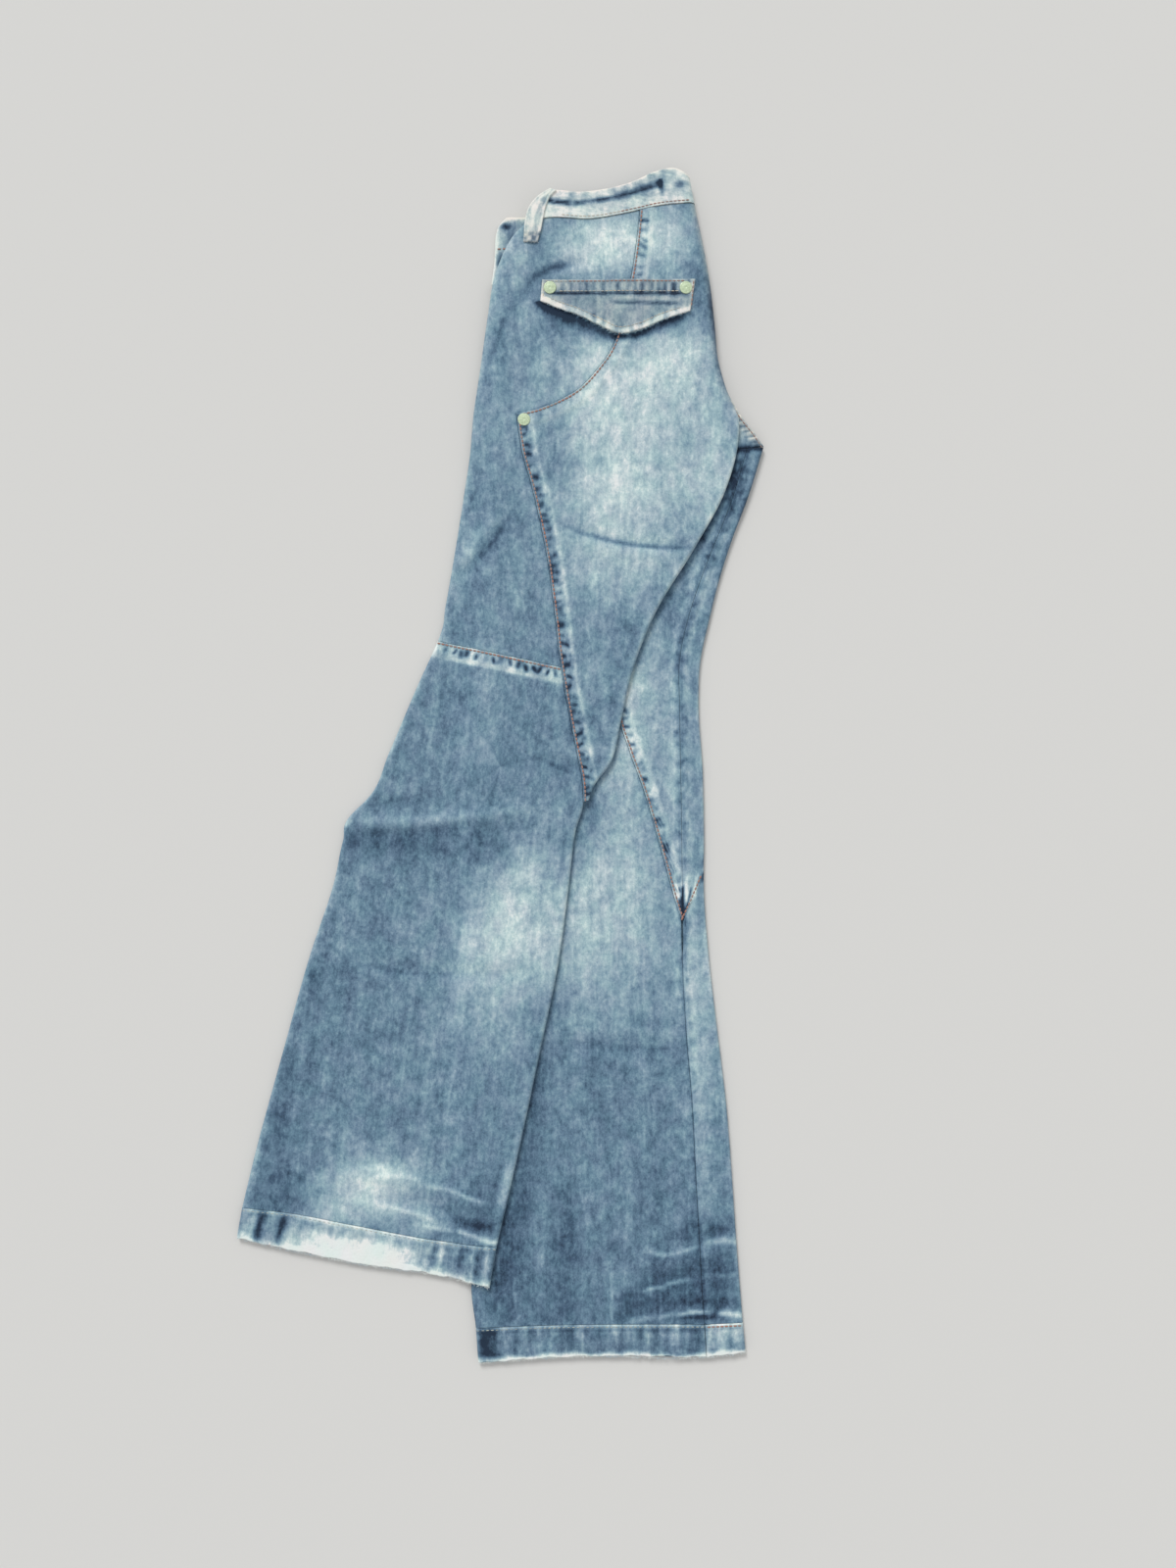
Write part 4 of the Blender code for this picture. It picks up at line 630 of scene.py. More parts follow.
def clothPanel(name, left, right, rows, columns, height, wall, top=None, bottom=None,
               bottomGap=cloth["seamGap"] / 2, ragged=0.0, lean=0.0):
    start, stop = left.curve(rows), right.curve(rows)
    width = np.linalg.norm(stop - start, axis=1)
    across = (stop - start) / width[:, None]
    rounding = wall / 2
    insets, radii, active = [], [], []
    for side in (left, right):
        folded = side.kind == "fold"
        rim = side.curve(rows)
        radius = (height(rim[:, 0], rim[:, 1]) - side.rest(rim[:, 0], rim[:, 1])) / 2 * folded
        on = (rows >= side.start - 1e-6) & folded
        insets.append(radius[:, None] * (1 - np.sin(foldAngles)) if folded
                      else np.tile(edgeSteps * rounding, (len(rows), 1)))
        radii.append(radius)
        active.append(on)
    spare = np.maximum(width - radii[0] - radii[1], 0.5) * 0.42
    for i, side in enumerate((left, right)):
        if side.kind != "fold":
            insets[i] = insets[i] * np.minimum(1, spare / (edgeSteps[-1] * rounding))[:, None]
    fromLeft, fromRight = insets[0], width[:, None] - insets[1]
    inner = np.linspace(0, 1, columns + 1)[1:-1]
    middle = fromLeft[:, -1:] + (fromRight[:, -1:] - fromLeft[:, -1:]) * inner
    places = np.hstack([fromLeft, middle, fromRight[:, ::-1]])
    places[:, 0] += np.where(active[0], 0, cloth["seamGap"] / 2)
    places[:, -1] -= np.where(active[1], 0, cloth["seamGap"] / 2)
    points = start[:, None, :] + across[:, None, :] * places[..., None]
    for curve, end in ((top, 0), (bottom, -1)):
        if curve is not None:
            points = layOn(points, curve(places[end] / width[end]), end)
        points = drawBack(points, end, bottomGap if end else cloth["seamGap"] / 2)
    lengthwise = np.cumsum(np.vstack([np.zeros((1, points.shape[1])),
                                      np.linalg.norm(np.diff(points, axis=0), axis=2)]), axis=0)
    if ragged:
        run = points[-1] - points[-6]
        run /= np.linalg.norm(run, axis=1)[:, None]
        toEnd = lengthwise[-1] - lengthwise
        torn = wobble(places[-1], 0, 7, 31) - 0.5 + 0.6 * wobble(places[-1], 0, 22, 32)
        points = points + (bell(toEnd, 3.0) * ragged * torn)[..., None] * run
    z = height(points[..., 0], points[..., 1])
    drop = np.zeros_like(z)
    distances = {"left": places - places[:, :1], "right": places[:, -1:] - places,
                 "top": lengthwise, "bottom": lengthwise[-1] - lengthwise}
    for key, distance in distances.items():
        plain = ~active[("left", "right").index(key)] if key in ("left", "right") else slice(None)
        drop[plain] = np.maximum(drop[plain], roundOff(distance[plain], rounding))
    z = z - drop
    inward = np.zeros(points.shape[:2] + (3,))
    inward[..., 2] = -np.maximum(1 - 2 * drop / wall, 0.06)
    turned = lean * pi / 180
    grain = np.stack([points[..., 0] * cos(turned) - points[..., 1] * sin(turned),
                      points[..., 0] * sin(turned) + points[..., 1] * cos(turned), 0 * z], axis=-1)
    unders = []
    for i, side in enumerate((left, right)):
        if side.kind != "fold":
            continue
        sign = (-1.0, 1.0)[i]
        columnsIn = [k if i == 0 else places.shape[1] - 1 - k for k in range(len(foldAngles))]
        for k, angle in zip(columnsIn, foldAngles):
            z[:, k] -= np.where(active[i], (radii[i] - drop[:, k]) * (1 - cos(angle)), 0)
            leaning = np.column_stack([-sign * across * sin(angle), np.full(len(rows), -cos(angle))])
            inward[active[i], k] = leaning[active[i]]
            stretchOut = radii[i] * (angle - sin(angle))
            grain[:, k, 0] += sign * np.where(active[i], stretchOut, 0)
        unders.append((columnsIn[0], sign, active[i], radii[i], drop[:, columnsIn[0]], side.tuck))
    return buildPanel(name, points, z, inward, grain, across, unders, wall)


def buildPanel(name, points, z, inward, grain, across, unders, wall):
    rows, columns = z.shape
    bm = bmesh.new()
    inwardLayer = bm.verts.layers.float_vector.new("inward")
    grainLayer = bm.verts.layers.float_vector.new("grain")
    bmesh.ops.create_grid(bm, x_segments=columns - 1, y_segments=rows - 1, size=1.0)
    grid = {}
    for vert in bm.verts:
        k = round((vert.co.x + 1) / 2 * (columns - 1))
        row = round((1 - vert.co.y) / 2 * (rows - 1))
        grid[row, k] = vert
        vert.co = (*points[row, k], z[row, k])
        vert[inwardLayer] = inward[row, k]
        vert[grainLayer] = grain[row, k]
    for k, sign, active, radius, drop, tuck in unders:
        lined = np.nonzero(active)[0]
        line = [grid[row, k] for row in lined]
        outward = sign * across
        steps = [(angle, 0.0) for angle in underAngles] + [(pi, tuck * 0.4), (pi, tuck)]
        for angle, back in steps:
            edges = [bm.edges.get(pair) for pair in zip(line, line[1:])]
            made = bmesh.ops.extrude_edge_only(bm, edges=edges)["geom"]
            fresh = {v.co.to_tuple(4): v for v in made if isinstance(v, bmesh.types.BMVert)}
            line = [fresh[v.co.to_tuple(4)] for v in line]
            for row, vert in zip(lined, line):
                reach = radius[row] * (sin(angle) - 1) - back
                place = points[row, k] + outward[row] * reach
                vert.co = (*place, z[row, k] + (radius[row] - drop[row]) * cos(angle))
                vert[inwardLayer] = (*(-outward[row] * sin(angle)), -cos(angle))
                vert[grainLayer] = grain[row, k] + (sign * (radius[row] * (angle - pi / 2) + back), 0, 0)
    sheetArea = sum(face.calc_area() for face in bm.faces)
    sheet = bm.verts[:] + bm.edges[:] + bm.faces[:]
    made = bmesh.ops.extrude_face_region(bm, geom=sheet, use_keep_orig=True)["geom"]
    for vert in made:
        if isinstance(vert, bmesh.types.BMVert):
            vert.co += vert[inwardLayer] * wall
    bmesh.ops.recalc_face_normals(bm, faces=bm.faces[:])
    bm.verts.layers.float_vector.remove(inwardLayer)
    piece = finished(name, bm)
    turns = sum(2 * float(radius.max()) * pi / 2 + tuck for _, _, _, radius, _, tuck in unders)
    wide = float(np.linalg.norm(np.diff(points, axis=1), axis=2).sum(axis=1).max()) + turns
    long = float(np.linalg.norm(np.diff(points, axis=0), axis=2).sum(axis=0).max())
    piece["cut"] = [wide * mm, long * mm, min(sheetArea * mm * mm, wide * long * mm * mm)]
    return piece


def finished(name, bm):
    # into the part's frame, in metres
    bmesh.ops.translate(bm, verts=bm.verts[:], vec=(-origin[0], -origin[1], 0))
    bmesh.ops.scale(bm, verts=bm.verts[:], vec=(mm, mm, mm))
    mesh = bpy.data.meshes.new(name)
    bm.to_mesh(mesh)
    bm.free()
    mesh.shade_smooth()
    mesh.set_sharp_from_angle(angle=1.2)
    piece = bpy.data.objects.new(name, mesh)
    bpy.context.collection.objects.link(piece)
    return piece


def paint(piece, tone, warm=None):
    # stores the cloth's lightness point by point, which is how faded it is with painted highlight and shade
    # in it, and how far it has greyed or yellowed, besides a painted grey cast of shade on the seat's rolled
    # edge
    places = np.empty(len(piece.data.vertices) * 3)
    piece.data.vertices.foreach_get("co", places)
    x, y = places[0::3] / mm + origin[0], places[1::3] / mm + origin[1]
    for name, value in (("tone", tone), ("warm", warm)):
        if value is not None:
            values = piece.data.attributes.new(name, "FLOAT", "POINT")
            values.data.foreach_set("value", (value(x, y) + 0 * x).astype(np.float32))


def wear(piece, material, nodes):
    piece.data.materials.append(material)
    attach(piece, "root")
    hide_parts(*nodes)
    if "cut" in piece:
        del piece["cut"]


def dress(piece, node, tone, warm=None):
    paint(piece, tone, warm)
    wear(piece, denim, [node])


def trim(piece, material):
    piece.data.materials.append(material)
    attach(piece, "root")


# shader maths

class Wire:
    # a socket's output that can be worked with like a number
    def __init__(self, board, socket):
        self.board = board
        self.socket = socket

    def work(self, operation, first, second=0.0):
        return self.board.add("ShaderNodeMath", {"operation": operation}, {0: first, 1: second})

    def __add__(self, other):
        return self.work("ADD", self, other)

    def __sub__(self, other):
        return self.work("SUBTRACT", self, other)

    def __mul__(self, other):
        return self.work("MULTIPLY", self, other)

    def sine(self):
        return self.work("SINE", self)


class Board:
    # one material, its nodes added one at a time
    def __init__(self, name):
        self.material = bpy.data.materials.new(name)
        self.material.use_nodes = True
        self.tree = self.material.node_tree
        self.shader = self.tree.nodes["Principled BSDF"]

    def add(self, kind, settings, inputs, output=0):
        node = self.tree.nodes.new(kind)
        for key, value in settings.items():
            if key == "stops":
                self.setStops(node.color_ramp, value)
            else:
                setattr(node, key, value)
        for key, value in inputs.items():
            self.feed(node.inputs[key], value)
        return Wire(self, node.outputs[output])

    def setStops(self, ramp, stops):
        while len(ramp.elements) < len(stops):
            ramp.elements.new(0.5)
        for element, (place, colour) in zip(ramp.elements, stops):
            element.position = place
            element.color = linear(*colour)

    def feed(self, socket, value):
        if isinstance(value, Wire):
            self.tree.links.new(value.socket, socket)
        else:
            socket.default_value = value

    def shade(self, inputs):
        for key, value in inputs.items():
            self.feed(self.shader.inputs[key], value)

    def attribute(self, name, output="Fac"):
        return self.add("ShaderNodeAttribute", {"attribute_name": name}, {}, output)

    def mapped(self, value, low, high, toLow=0.0, toHigh=1.0):
        return self.add("ShaderNodeMapRange", {}, {"Value": value, "From Min": low, "From Max": high,
                                                   "To Min": toLow, "To Max": toHigh})

    def noise(self, vector, scale, detail=2.0, roughness=0.5):
        spread = self.add("ShaderNodeVectorMath", {"operation": "MULTIPLY"}, {0: vector, 1: scale})
        return self.add("ShaderNodeTexNoise", {}, {"Vector": spread, "Scale": 1.0, "Detail": detail,
                                                   "Roughness": roughness}, "Fac")

    def blend(self, factor, first, second, how="MIX"):
        return self.add("ShaderNodeMix", {"data_type": "RGBA", "blend_type": how},
                        {0: factor, 6: first, 7: second}, 2)

    def bump(self, height, distance, strength):
        return self.add("ShaderNodeBump", {}, {"Height": height, "Distance": distance, "Strength": strength})


def linear(red, green, blue):
    # a colour as a screen shows it, from 0 to 255, as the light it sends back, with full cover
    return (*(((c / 255 + 0.055) / 1.055)**2.4 if c > 10 else c / 3294 for c in (red, green, blue)), 1.0)


denimLook = {
    # lightness on the cloth's own scale: dark indigo, washed blue, faded, bleached white
    "ramp": [(0.00, (33, 49, 68)), (0.20, (68, 93, 115)), (0.40, (102, 130, 150)), (0.55, (130, 156, 171)),
             (0.70, (158, 181, 189)), (0.85, (188, 206, 208)), (1.00, (224, 231, 228))],
    # unevenness: cells in a metre across and along the grain, detail, and its share of the lightness
    "fleck": (900, 700, 1.0, 0.22), "slub": (340, 220, 2.0, 0.42), "blotch": (130, 90, 2.0, 0.50),
    "streak": (230, 16, 2.0, 0.22), "band": (75, 10, 2.0, 0.22), "mottle": (46, 36, 3.0, 0.34),
    "teal": (0.95, 1.0, 0.99), "violet": (1.025, 0.985, 1.01), "grey": (1.16, 0.96, 0.86),
    "twillPitch": 0.00062, "twillRise": 3.2,
    "roughness": 0.92, "sheen": 0.05,
}


def denimMaterial(name, look):
    board = Board(name)
    grain = board.attribute("grain", "Vector")
    grain = board.add("ShaderNodeVectorMath", {"operation": "MULTIPLY"}, {0: grain, 1: (mm, mm, mm)})
    level = board.attribute("tone")
    uneven = {}
    for key in ("fleck", "slub", "blotch", "streak", "band", "mottle"):
        across, along, detail, share = look[key]
        uneven[key] = board.noise(grain, (across, along, 1), detail, 0.6) - 0.5
        level = level + uneven[key] * share
    colour = board.add("ShaderNodeValToRGB", {"stops": look["ramp"]}, {"Fac": level}, "Color")
    hue = board.mapped(board.noise(grain, (60, 42, 1), 1.5, 0.6), 0.36, 0.64)
    hue = board.blend(hue, (*look["teal"], 1), (*look["violet"], 1))
    colour = board.blend(1.0, colour, hue, "MULTIPLY")
    grey = board.blend(1.0, colour, (*look["grey"], 1), "MULTIPLY")
    colour = board.blend(board.attribute("warm"), colour, grey)
    across = board.add("ShaderNodeSeparateXYZ", {}, {0: grain}, "X")
    along = board.add("ShaderNodeSeparateXYZ", {}, {0: grain}, "Y")
    pitch = look["twillPitch"]
    twill = (across * (2 * pi / pitch) + along * (look["twillRise"] / pitch)).sine()
    thread = (along * (2 * pi / (pitch * 0.8))).sine()
    weave = twill * 0.5 + thread * 0.15
    light = board.mapped(weave, -0.6, 0.6, 0.88, 1.1)
    light = board.add("ShaderNodeCombineColor", {}, {0: light, 1: light, 2: light}, "Color")
    relief = weave * 0.35 + uneven["slub"] * 1.6 + uneven["fleck"] * 1.2 + uneven["blotch"] * 1.8
    board.shade({"Base Color": board.blend(1.0, colour, light, "MULTIPLY"),
                 "Normal": board.bump(relief, 0.0003, 0.75), "Roughness": look["roughness"],
                 "Sheen Weight": look["sheen"], "Sheen Roughness": 0.5, "Specular IOR Level": 0.2})
    return board.material


def threadMaterial(name, main, second, roughness=0.75):
    board = Board(name)
    place = board.add("ShaderNodeTexCoord", {}, {}, "Object")
    patchy = board.mapped(board.noise(place, (70, 70, 70)), 0.38, 0.66)
    colour = board.blend(patchy, linear(*main), linear(*second))
    fibre = board.noise(place, (2600, 2600, 2600))
    board.shade({"Base Color": board.blend(0.35, colour, fibre, "MULTIPLY"),
                 "Normal": board.bump(fibre, 0.0002, 0.6), "Roughness": roughness, "Sheen Weight": 0.3})
    return board.material


denim = denimMaterial("denim_cloth", denimLook)
orangeThread = threadMaterial("orange_thread", (170, 120, 104), (156, 140, 134))
paleThread = threadMaterial("pale_thread", (214, 204, 184), (176, 180, 178))
wornThread = threadMaterial("worn_thread", (190, 194, 180), (128, 146, 158))
frayThread = threadMaterial("frayed_weft", (232, 236, 232), (186, 202, 210), 0.9)


# stitches: one row is a line of short thread capsules lying on the cloth
def stitchRow(bm, line, height, look):
    along = runningLength(line)
    count = int(along[-1] / look["pitch"])
    ends = (np.arange(count) + 0.5) * along[-1] / count
    half = look["length"] / 2
    first, last = pointAt(line, along, ends - half), pointAt(line, along, ends + half)
    low, high = height(first[:, 0], first[:, 1]), height(last[:, 0], last[:, 1])
    middle = (first + last) / 2
    level = np.maximum(height(middle[:, 0], middle[:, 1]), (low + high) / 2)
    for k in range(count):
        run = Vector((*(last[k] - first[k]), high[k] - low[k]))
        turn = run.to_track_quat("X", "Z").to_matrix().to_4x4()
        size = Matrix.Diagonal((half, look["thick"] / 2, look["thick"] * 0.42, 1.0))
        place = Matrix.Translation((*middle[k], level[k] + look["sit"]))
        bmesh.ops.create_uvsphere(bm, u_segments=6, v_segments=5, radius=1.0,
                                  matrix=place @ turn @ size @ Matrix.Rotation(pi / 2, 4, "Y"))


def stitching(name, lines, height, material, pitch=3.6, length=3.3, thick=1.6, sit=0.1):
    look = {"pitch": pitch, "length": length, "thick": thick, "sit": sit}
    bm = bmesh.new()
    for line in lines:
        stitchRow(bm, line, height, look)
    trim(finished(name, bm), material)


# frayed threads along an edge, standing out from it
def fray(name, line, height, look):
    random = np.random.default_rng(look["seed"])
    along = runningLength(line)
    bm = bmesh.new()
    for _ in range(look["count"]):
        s = random.uniform(0, along[-1])
        dense = look.get("dense")
        if dense and random.random() > dense(s / along[-1]):
            continue
        place, ahead, behind = (pointAt(line, along, mark)
                                for mark in (s, min(s + 2, along[-1]), max(s - 2, 0)))
        run = (ahead - behind) / max(np.linalg.norm(ahead - behind), 1e-6)
        out = np.array([run[1], -run[0]])
        away = out * random.uniform(0.3, 1.0) + run * random.normal(0, look["comb"])
        length = look["length"] * random.uniform(0.35, 1.0)
        tilt = random.uniform(-0.35, 0.15)
        start = np.array([*(place - out * random.uniform(0.2, 1.2)),
                          height(place[:1], place[1:])[0] - random.uniform(0.3, look["deep"])])
        aim = Vector((*away, tilt)).normalized()
        turn = aim.to_track_quat("Z", "Y").to_matrix().to_4x4()
        middle = Vector(start) + aim * length / 2
        middle.z = max(middle.z, 0.3 + abs(aim.z) * length / 2)
        bmesh.ops.create_cone(bm, cap_ends=True, segments=4, radius1=look["thick"] / 2,
                              radius2=look["thick"] * 0.2, depth=length,
                              matrix=Matrix.Translation(middle) @ turn)
    trim(finished(name, bm), frayThread)


def waistBetween(startX, endX):
    line = smoothLine(waistSeam)
    fine = sampled(line, 400)[:, 0]
    return stretch(line, *[np.abs(fine - x).argmin() / 399 for x in (startX, endX)])


# left leg, on top of the other
seatSeams = ("hip", "curve", "seat", "seatOuter")


def seatFace(x, y):
    return seatHeight(x, y) + puckers(seatSeams, x, y)[0]


def lowerFace(x, y):
    return lowerHeight(x, y) + pucker("knee", x, y)[0]


def paintedFlapShadow(x, y):
    # painted shadow that the flap casts on the cloth just below its lower edge
    distance, side, along = nearLine(smoothed(flapBottom, 50), x, y)
    width = np.interp(along, [0, 14, 40, 62, 80, 110, 146], [3.0, 7.0, 8.5, 6.5, 3.0, 5.5, 3.0])
    beyond = np.maximum(distance - 2, 0)
    return -0.62 * bell(beyond, width) * (side < 0) * (1 - smoothStep(126, 144, along))


def seamShade(line, x, y, width=1.6):
    return -0.14 * bell(nearLine(line, x, y)[0], width)


def sideTone(x, y):
    tone = legTone("left", x, y) + edgeWear(sideLine, x, y, 0.22, 4.0) + paintedFlapShadow(x, y)
    return tone + seamShade(hipLine, x, y) + seamShade(seatLine, x, y)


def seatTone(x, y):
    tone = legTone("left", x, y) + puckers(seatSeams, x, y)[1] + paintedFlapShadow(x, y)
    beyond = nearLine(innerLine, x, y)[0]
    # painted shade on the rolled inner fold, from the hip down to the crotch
    shaded = bell(beyond, 4) * smoothStep(310, 345, y) * (1 - smoothStep(410, 440, y))
    return tone + edgeWear(innerLine, x, y, 0.20, 3.5) - 0.05 * bell(beyond - 12, 6) - 0.42 * shaded


# painted grey cast of shade along the seat's rolled inner fold
def seatEdgeShadeGrey(x, y):
    beyond = nearLine(innerLine, x, y)[0]
    return 0.8 * bell(beyond, 4.5) * smoothStep(300, 340, y)


def lowerTone(x, y):
    tone = legTone("left", x, y) + pucker("knee", x, y)[1]
    low = 1 - smoothStep(-220, -80, y)
    tone = tone + edgeWear(sideLine, x, y, 0.26, 3.5) + (1 - 0.7 * low) * edgeWear(innerLine, x, y, 0.20, 4.0)
    return tone + seamShade(seatLine, x, y)


def legRowsBetween(table, start, end, length):
    return endRows(rowsBetween(table, start, end, cloth["spacing"]), length, cloth["wall"] / 2)


def buildLeftLeg():
    waistX, seamX, innerX = leftLeg[0].sideX, leftLeg[0].seamX, leftLeg[0].innerX
    ends = "waist", "knee seam"
    dress(clothPanel("left_side_cloth", Edge(edgeOf(leftLeg, "side", *ends), "fold", onOwnThickness),
                     Edge(edgeOf(leftLeg, "seam", *ends), "plain"),
                     legRowsBetween(leftLeg, *ends, 390), 44, leftHeight, cloth["wall"],
                     top=waistBetween(waistX, seamX), lean=-4),
          "left_side_panel", sideTone)
    dress(clothPanel("left_seat_cloth", Edge(edgeOf(leftLeg, "seam", "waist", "tip"), "seam"),
                     Edge(edgeOf(leftLeg, "inner", "waist", "tip"), "fold", onRightLeg),
                     legRowsBetween(leftLeg, "waist", "tip", 560), 64, seatFace, cloth["wall"],
                     top=waistBetween(seamX, innerX), lean=3),
          "left_seat_panel", seatTone, seatEdgeShadeGrey)
    tip = shareOf(leftLeg, "knee seam", "tip", "hem stitching") + 0.01
    ends = "knee seam", "hem stitching"
    dress(clothPanel("left_lower_cloth", Edge(edgeOf(leftLeg, "side", *ends), "fold", onOwnThickness),
                     Edge(edgeOf(leftLeg, "seam", *ends), "fold", onRightLeg, start=tip),
                     legRowsBetween(leftLeg, *ends, 530), 104, lowerFace, cloth["wall"],
                     bottom=smoothLine(leftHemTop), lean=6),
          "left_lower_panel", lowerTone)
    print("left leg made")


# hems: turned up twice, roped by the wash, worn white at the lower edge
leftHem = {"top": leftHemTop, "bottom": leftHemBottom, "white": 108, "whiteHalf": 62,
           "ropes": [(19.5, 1.0), (39.5, 1.2), (58, 0.35), (66, 0.4), (75, 0.3), (84, 0.4), (93, 0.4),
                     (103, 0.3), (112, 0.35), (123, 0.3), (134, 0.35), (146, 0.3), (158, 0.35), (168, 0.4),
                     (177, 0.75), (189, 0.4), (201, 0.7), (216, 0.6), (228, 0.3)]}
rightHem = {"top": rightHemTop + [Point(215.8, -496)], "bottom": rightHemBottom + [rightHemCorner],
            "ropes": [(9, 1.0), (17, 0.9), (36, 1.0), (50, 0.8), (64, 0.6), (78, 0.9), (86, 1.0), (100, 0.7),
                     (112, 0.9), (119, 0.6), (132, 1.0), (147, 0.7), (161, 0.9), (172, 0.6), (184, 0.9),
                     (195, 0.9), (214, 0.5), (228, 0.7)]}


def hemPlace(hem, x, y):
    # how far along a hem from its left end, and how deep below its stitching, from 0 to 1
    above, _, along = nearLine(smoothed(hem["top"], 40), x, y)
    below = nearLine(smoothed(hem["bottom"], 40), x, y)[0]
    return along, above / (above + below + 1e-6)


def ropes(hem, along, slant):
    places, strengths = np.array(hem["ropes"]).T
    shape = bell((along + slant)[..., None] - places, 3.6)
    return np.minimum((strengths * shape).sum(axis=-1), 1.2)


def leftHemFace(x, y):
    along, depth = hemPlace(leftHem, x, y)
    roped = ropes(leftHem, along, 5 * depth) * np.sin(pi * np.clip(depth, 0, 1))
    return leftHemHeight(x, y) - 0.5 * roped - 0.25 * bell(depth - 0.09, 0.05)


def leftHemTone(x, y):
    along, depth = hemPlace(leftHem, x, y)
    white = bell(np.abs(along - leftHem["white"]), leftHem["whiteHalf"], 4)
    upper = bell(depth - 0.30, 0.17) * white + bell(depth - 0.48, 0.40, 4) * (1 - white)
    roped = ropes(leftHem, along, 5 * depth) * upper
    worn = 0.04 * np.sin(along / 3.1) + 0.05 * np.sin(along / 7.7 + 2)
    rim = bell(1 - depth, 0.17 + worn) + 0.2 * bell(depth, 0.08)
    tone = 0.46 + 0.40 * white + 0.24 * white * smoothStep(0.22 + worn, 0.42 + worn, depth)
    tone = tone - (0.46 + 0.1 * white) * roped + 0.5 * rim + 0.22 * bell(along - 6, 6)
    uneven = 0.6 + 0.4 * wobble(x, y, 7, 35)
    for place, width in ((12, 4), (30, 5), (182, 2.4), (209, 2.2), (222, 2.0)):
        tone = tone + 0.28 * bell(along - place, width) * uneven
    tone = tone - 0.12 * (1 - smoothStep(26, 56, along))
    tone = tone + 0.14 * bell(along - 178, 12) * (depth < 0.4)
    return tone - 0.12 * bell(depth - 0.16, 0.05) + 0.10 * wobble(x, y, 8, 12)


def hemWarm(x, y):
    return 0.1 + 0.15 * wobble(x, y, 40, 20)


def rightHemFace(x, y):
    along, depth = hemPlace(rightHem, x, y)
    roped = ropes(rightHem, along, 3 * depth) * np.sin(pi * np.clip(depth, 0, 1))
    return rightHemHeight(x, y) - 0.4 * roped - 0.2 * bell(depth - 0.09, 0.05)


def rightHemTone(x, y):
    along, depth = hemPlace(rightHem, x, y)
    roped = ropes(rightHem, along, 3 * depth)
    worn = 0.02 * np.sin(along / 4.3) + 0.03 * np.sin(along / 11 + 1)
    rim = bell(1 - depth, 0.15 + worn, 4)
    under = bell(depth - 0.26, 0.12)
    join = bell(x - 184, 3) + 0.7 * bell(x - 196, 5) + 0.5 * bell(x - 209, 4)
    lit = (1 - roped) * (0.65 + 0.35 * wobble(x, y, 12, 36))
    tone = 0.34 + 0.10 * lit + 0.12 * under * lit - 0.12 * roped * (depth < 0.9) + 0.66 * rim + 0.2 * join
    uneven = 0.6 + 0.4 * wobble(x, y, 9, 37)
    for place in (25, 44, 55.5, 94, 124, 152, 179):
        tone = tone + 0.20 * bell(along - place - 3 * depth, 1.8) * uneven
    tone = tone + 0.26 * bell(depth, 0.07) - 0.12 * bell(depth - 0.16, 0.05)
    tone = tone + 0.16 * bell(along - 178, 7) * (depth < 0.6)
    tone = tone + 0.14 * bell(along - 125, 16, 4) * (depth < 0.3)
    corner = smoothStep(205, 210, along) * (1.1 - smoothStep(0.3, 0.8, depth))
    tone = tone - 0.30 * (1 - smoothStep(8, 30, along)) + corner * (0.22 + 0.14 * wobble(x, y, 6, 38))
    tone = tone - 0.16 * bell(along - 200, 5)
    ends = np.array([rightHemTop[0], rightHemBottom[0]], dtype=float)
    return tone + 0.07 * wobble(x, y, 8, 13) + edgeWear(ends, x, y, 0.35, 3)


def evenRows(length, wall):
    return endRows(np.linspace(0, 1, int(length / cloth["spacing"])), length, wall / 2)


def lineBetween(start, end):
    return smoothLine([start, end])


def buildHems():
    wall = cloth["hemWall"]
    join = lineBetween(rightHemTop[-1], rightHemBottom[-1])
    foldLine = lineBetween(Point(rightLeg[-1].innerX, rightLeg[-1].innerY), rightHemCorner)
    dress(clothPanel("left_hem_cloth", Edge(lineBetween(leftHemTop[0], leftHemBottom[0]), "fold"),
                     Edge(lineBetween(leftHemTop[-1], leftHemBottom[-1]), "fold", onRightLeg, 16.0),
                     evenRows(30, wall), 120, leftHemFace, wall, top=smoothLine(leftHemTop),
                     bottom=smoothLine(leftHemBottom), ragged=0.8, lean=6),
          "left_hem", leftHemTone, hemWarm)
    dress(clothPanel("right_hem_front_cloth", Edge(lineBetween(rightHemTop[0], rightHemBottom[0]), "fold"),
                     Edge(join, "plain"), evenRows(30, wall), 106, rightHemFace, wall,
                     top=smoothLine(rightHemTop), bottom=smoothLine(rightHemBottom), ragged=0.8),
          "right_hem_front", rightHemTone, hemWarm)
    dress(clothPanel("right_hem_back_cloth", Edge(join, "plain"), Edge(foldLine, "fold"),
                     evenRows(28, wall), 14, rightHemFace, wall, ragged=0.6),
          "right_hem_back", rightHemTone, hemWarm)
    print("hems made")


# right leg, underneath
crotchDip = {"line": np.array([(198.0, 281.0), (219.5, 283.0), (236.0, 284.8)]), "depth": 0.9, "width": 3.5}


def intoCrotch(x, y):
    # both sides sink towards the deep crease under the crotch seam
    distance = nearLine(crotchDip["line"], x, y)[0]
    return crotchDip["depth"] * bell(distance, crotchDip["width"])


def rightFrontFace(x, y):
    return rightHeight(x, y) + pucker("fellFront", x, y)[0]


def wedgeFace(x, y):
    return wedgeHeight(x, y) + puckers(("slant", "fellFront"), x, y)[0] - intoCrotch(x, y)


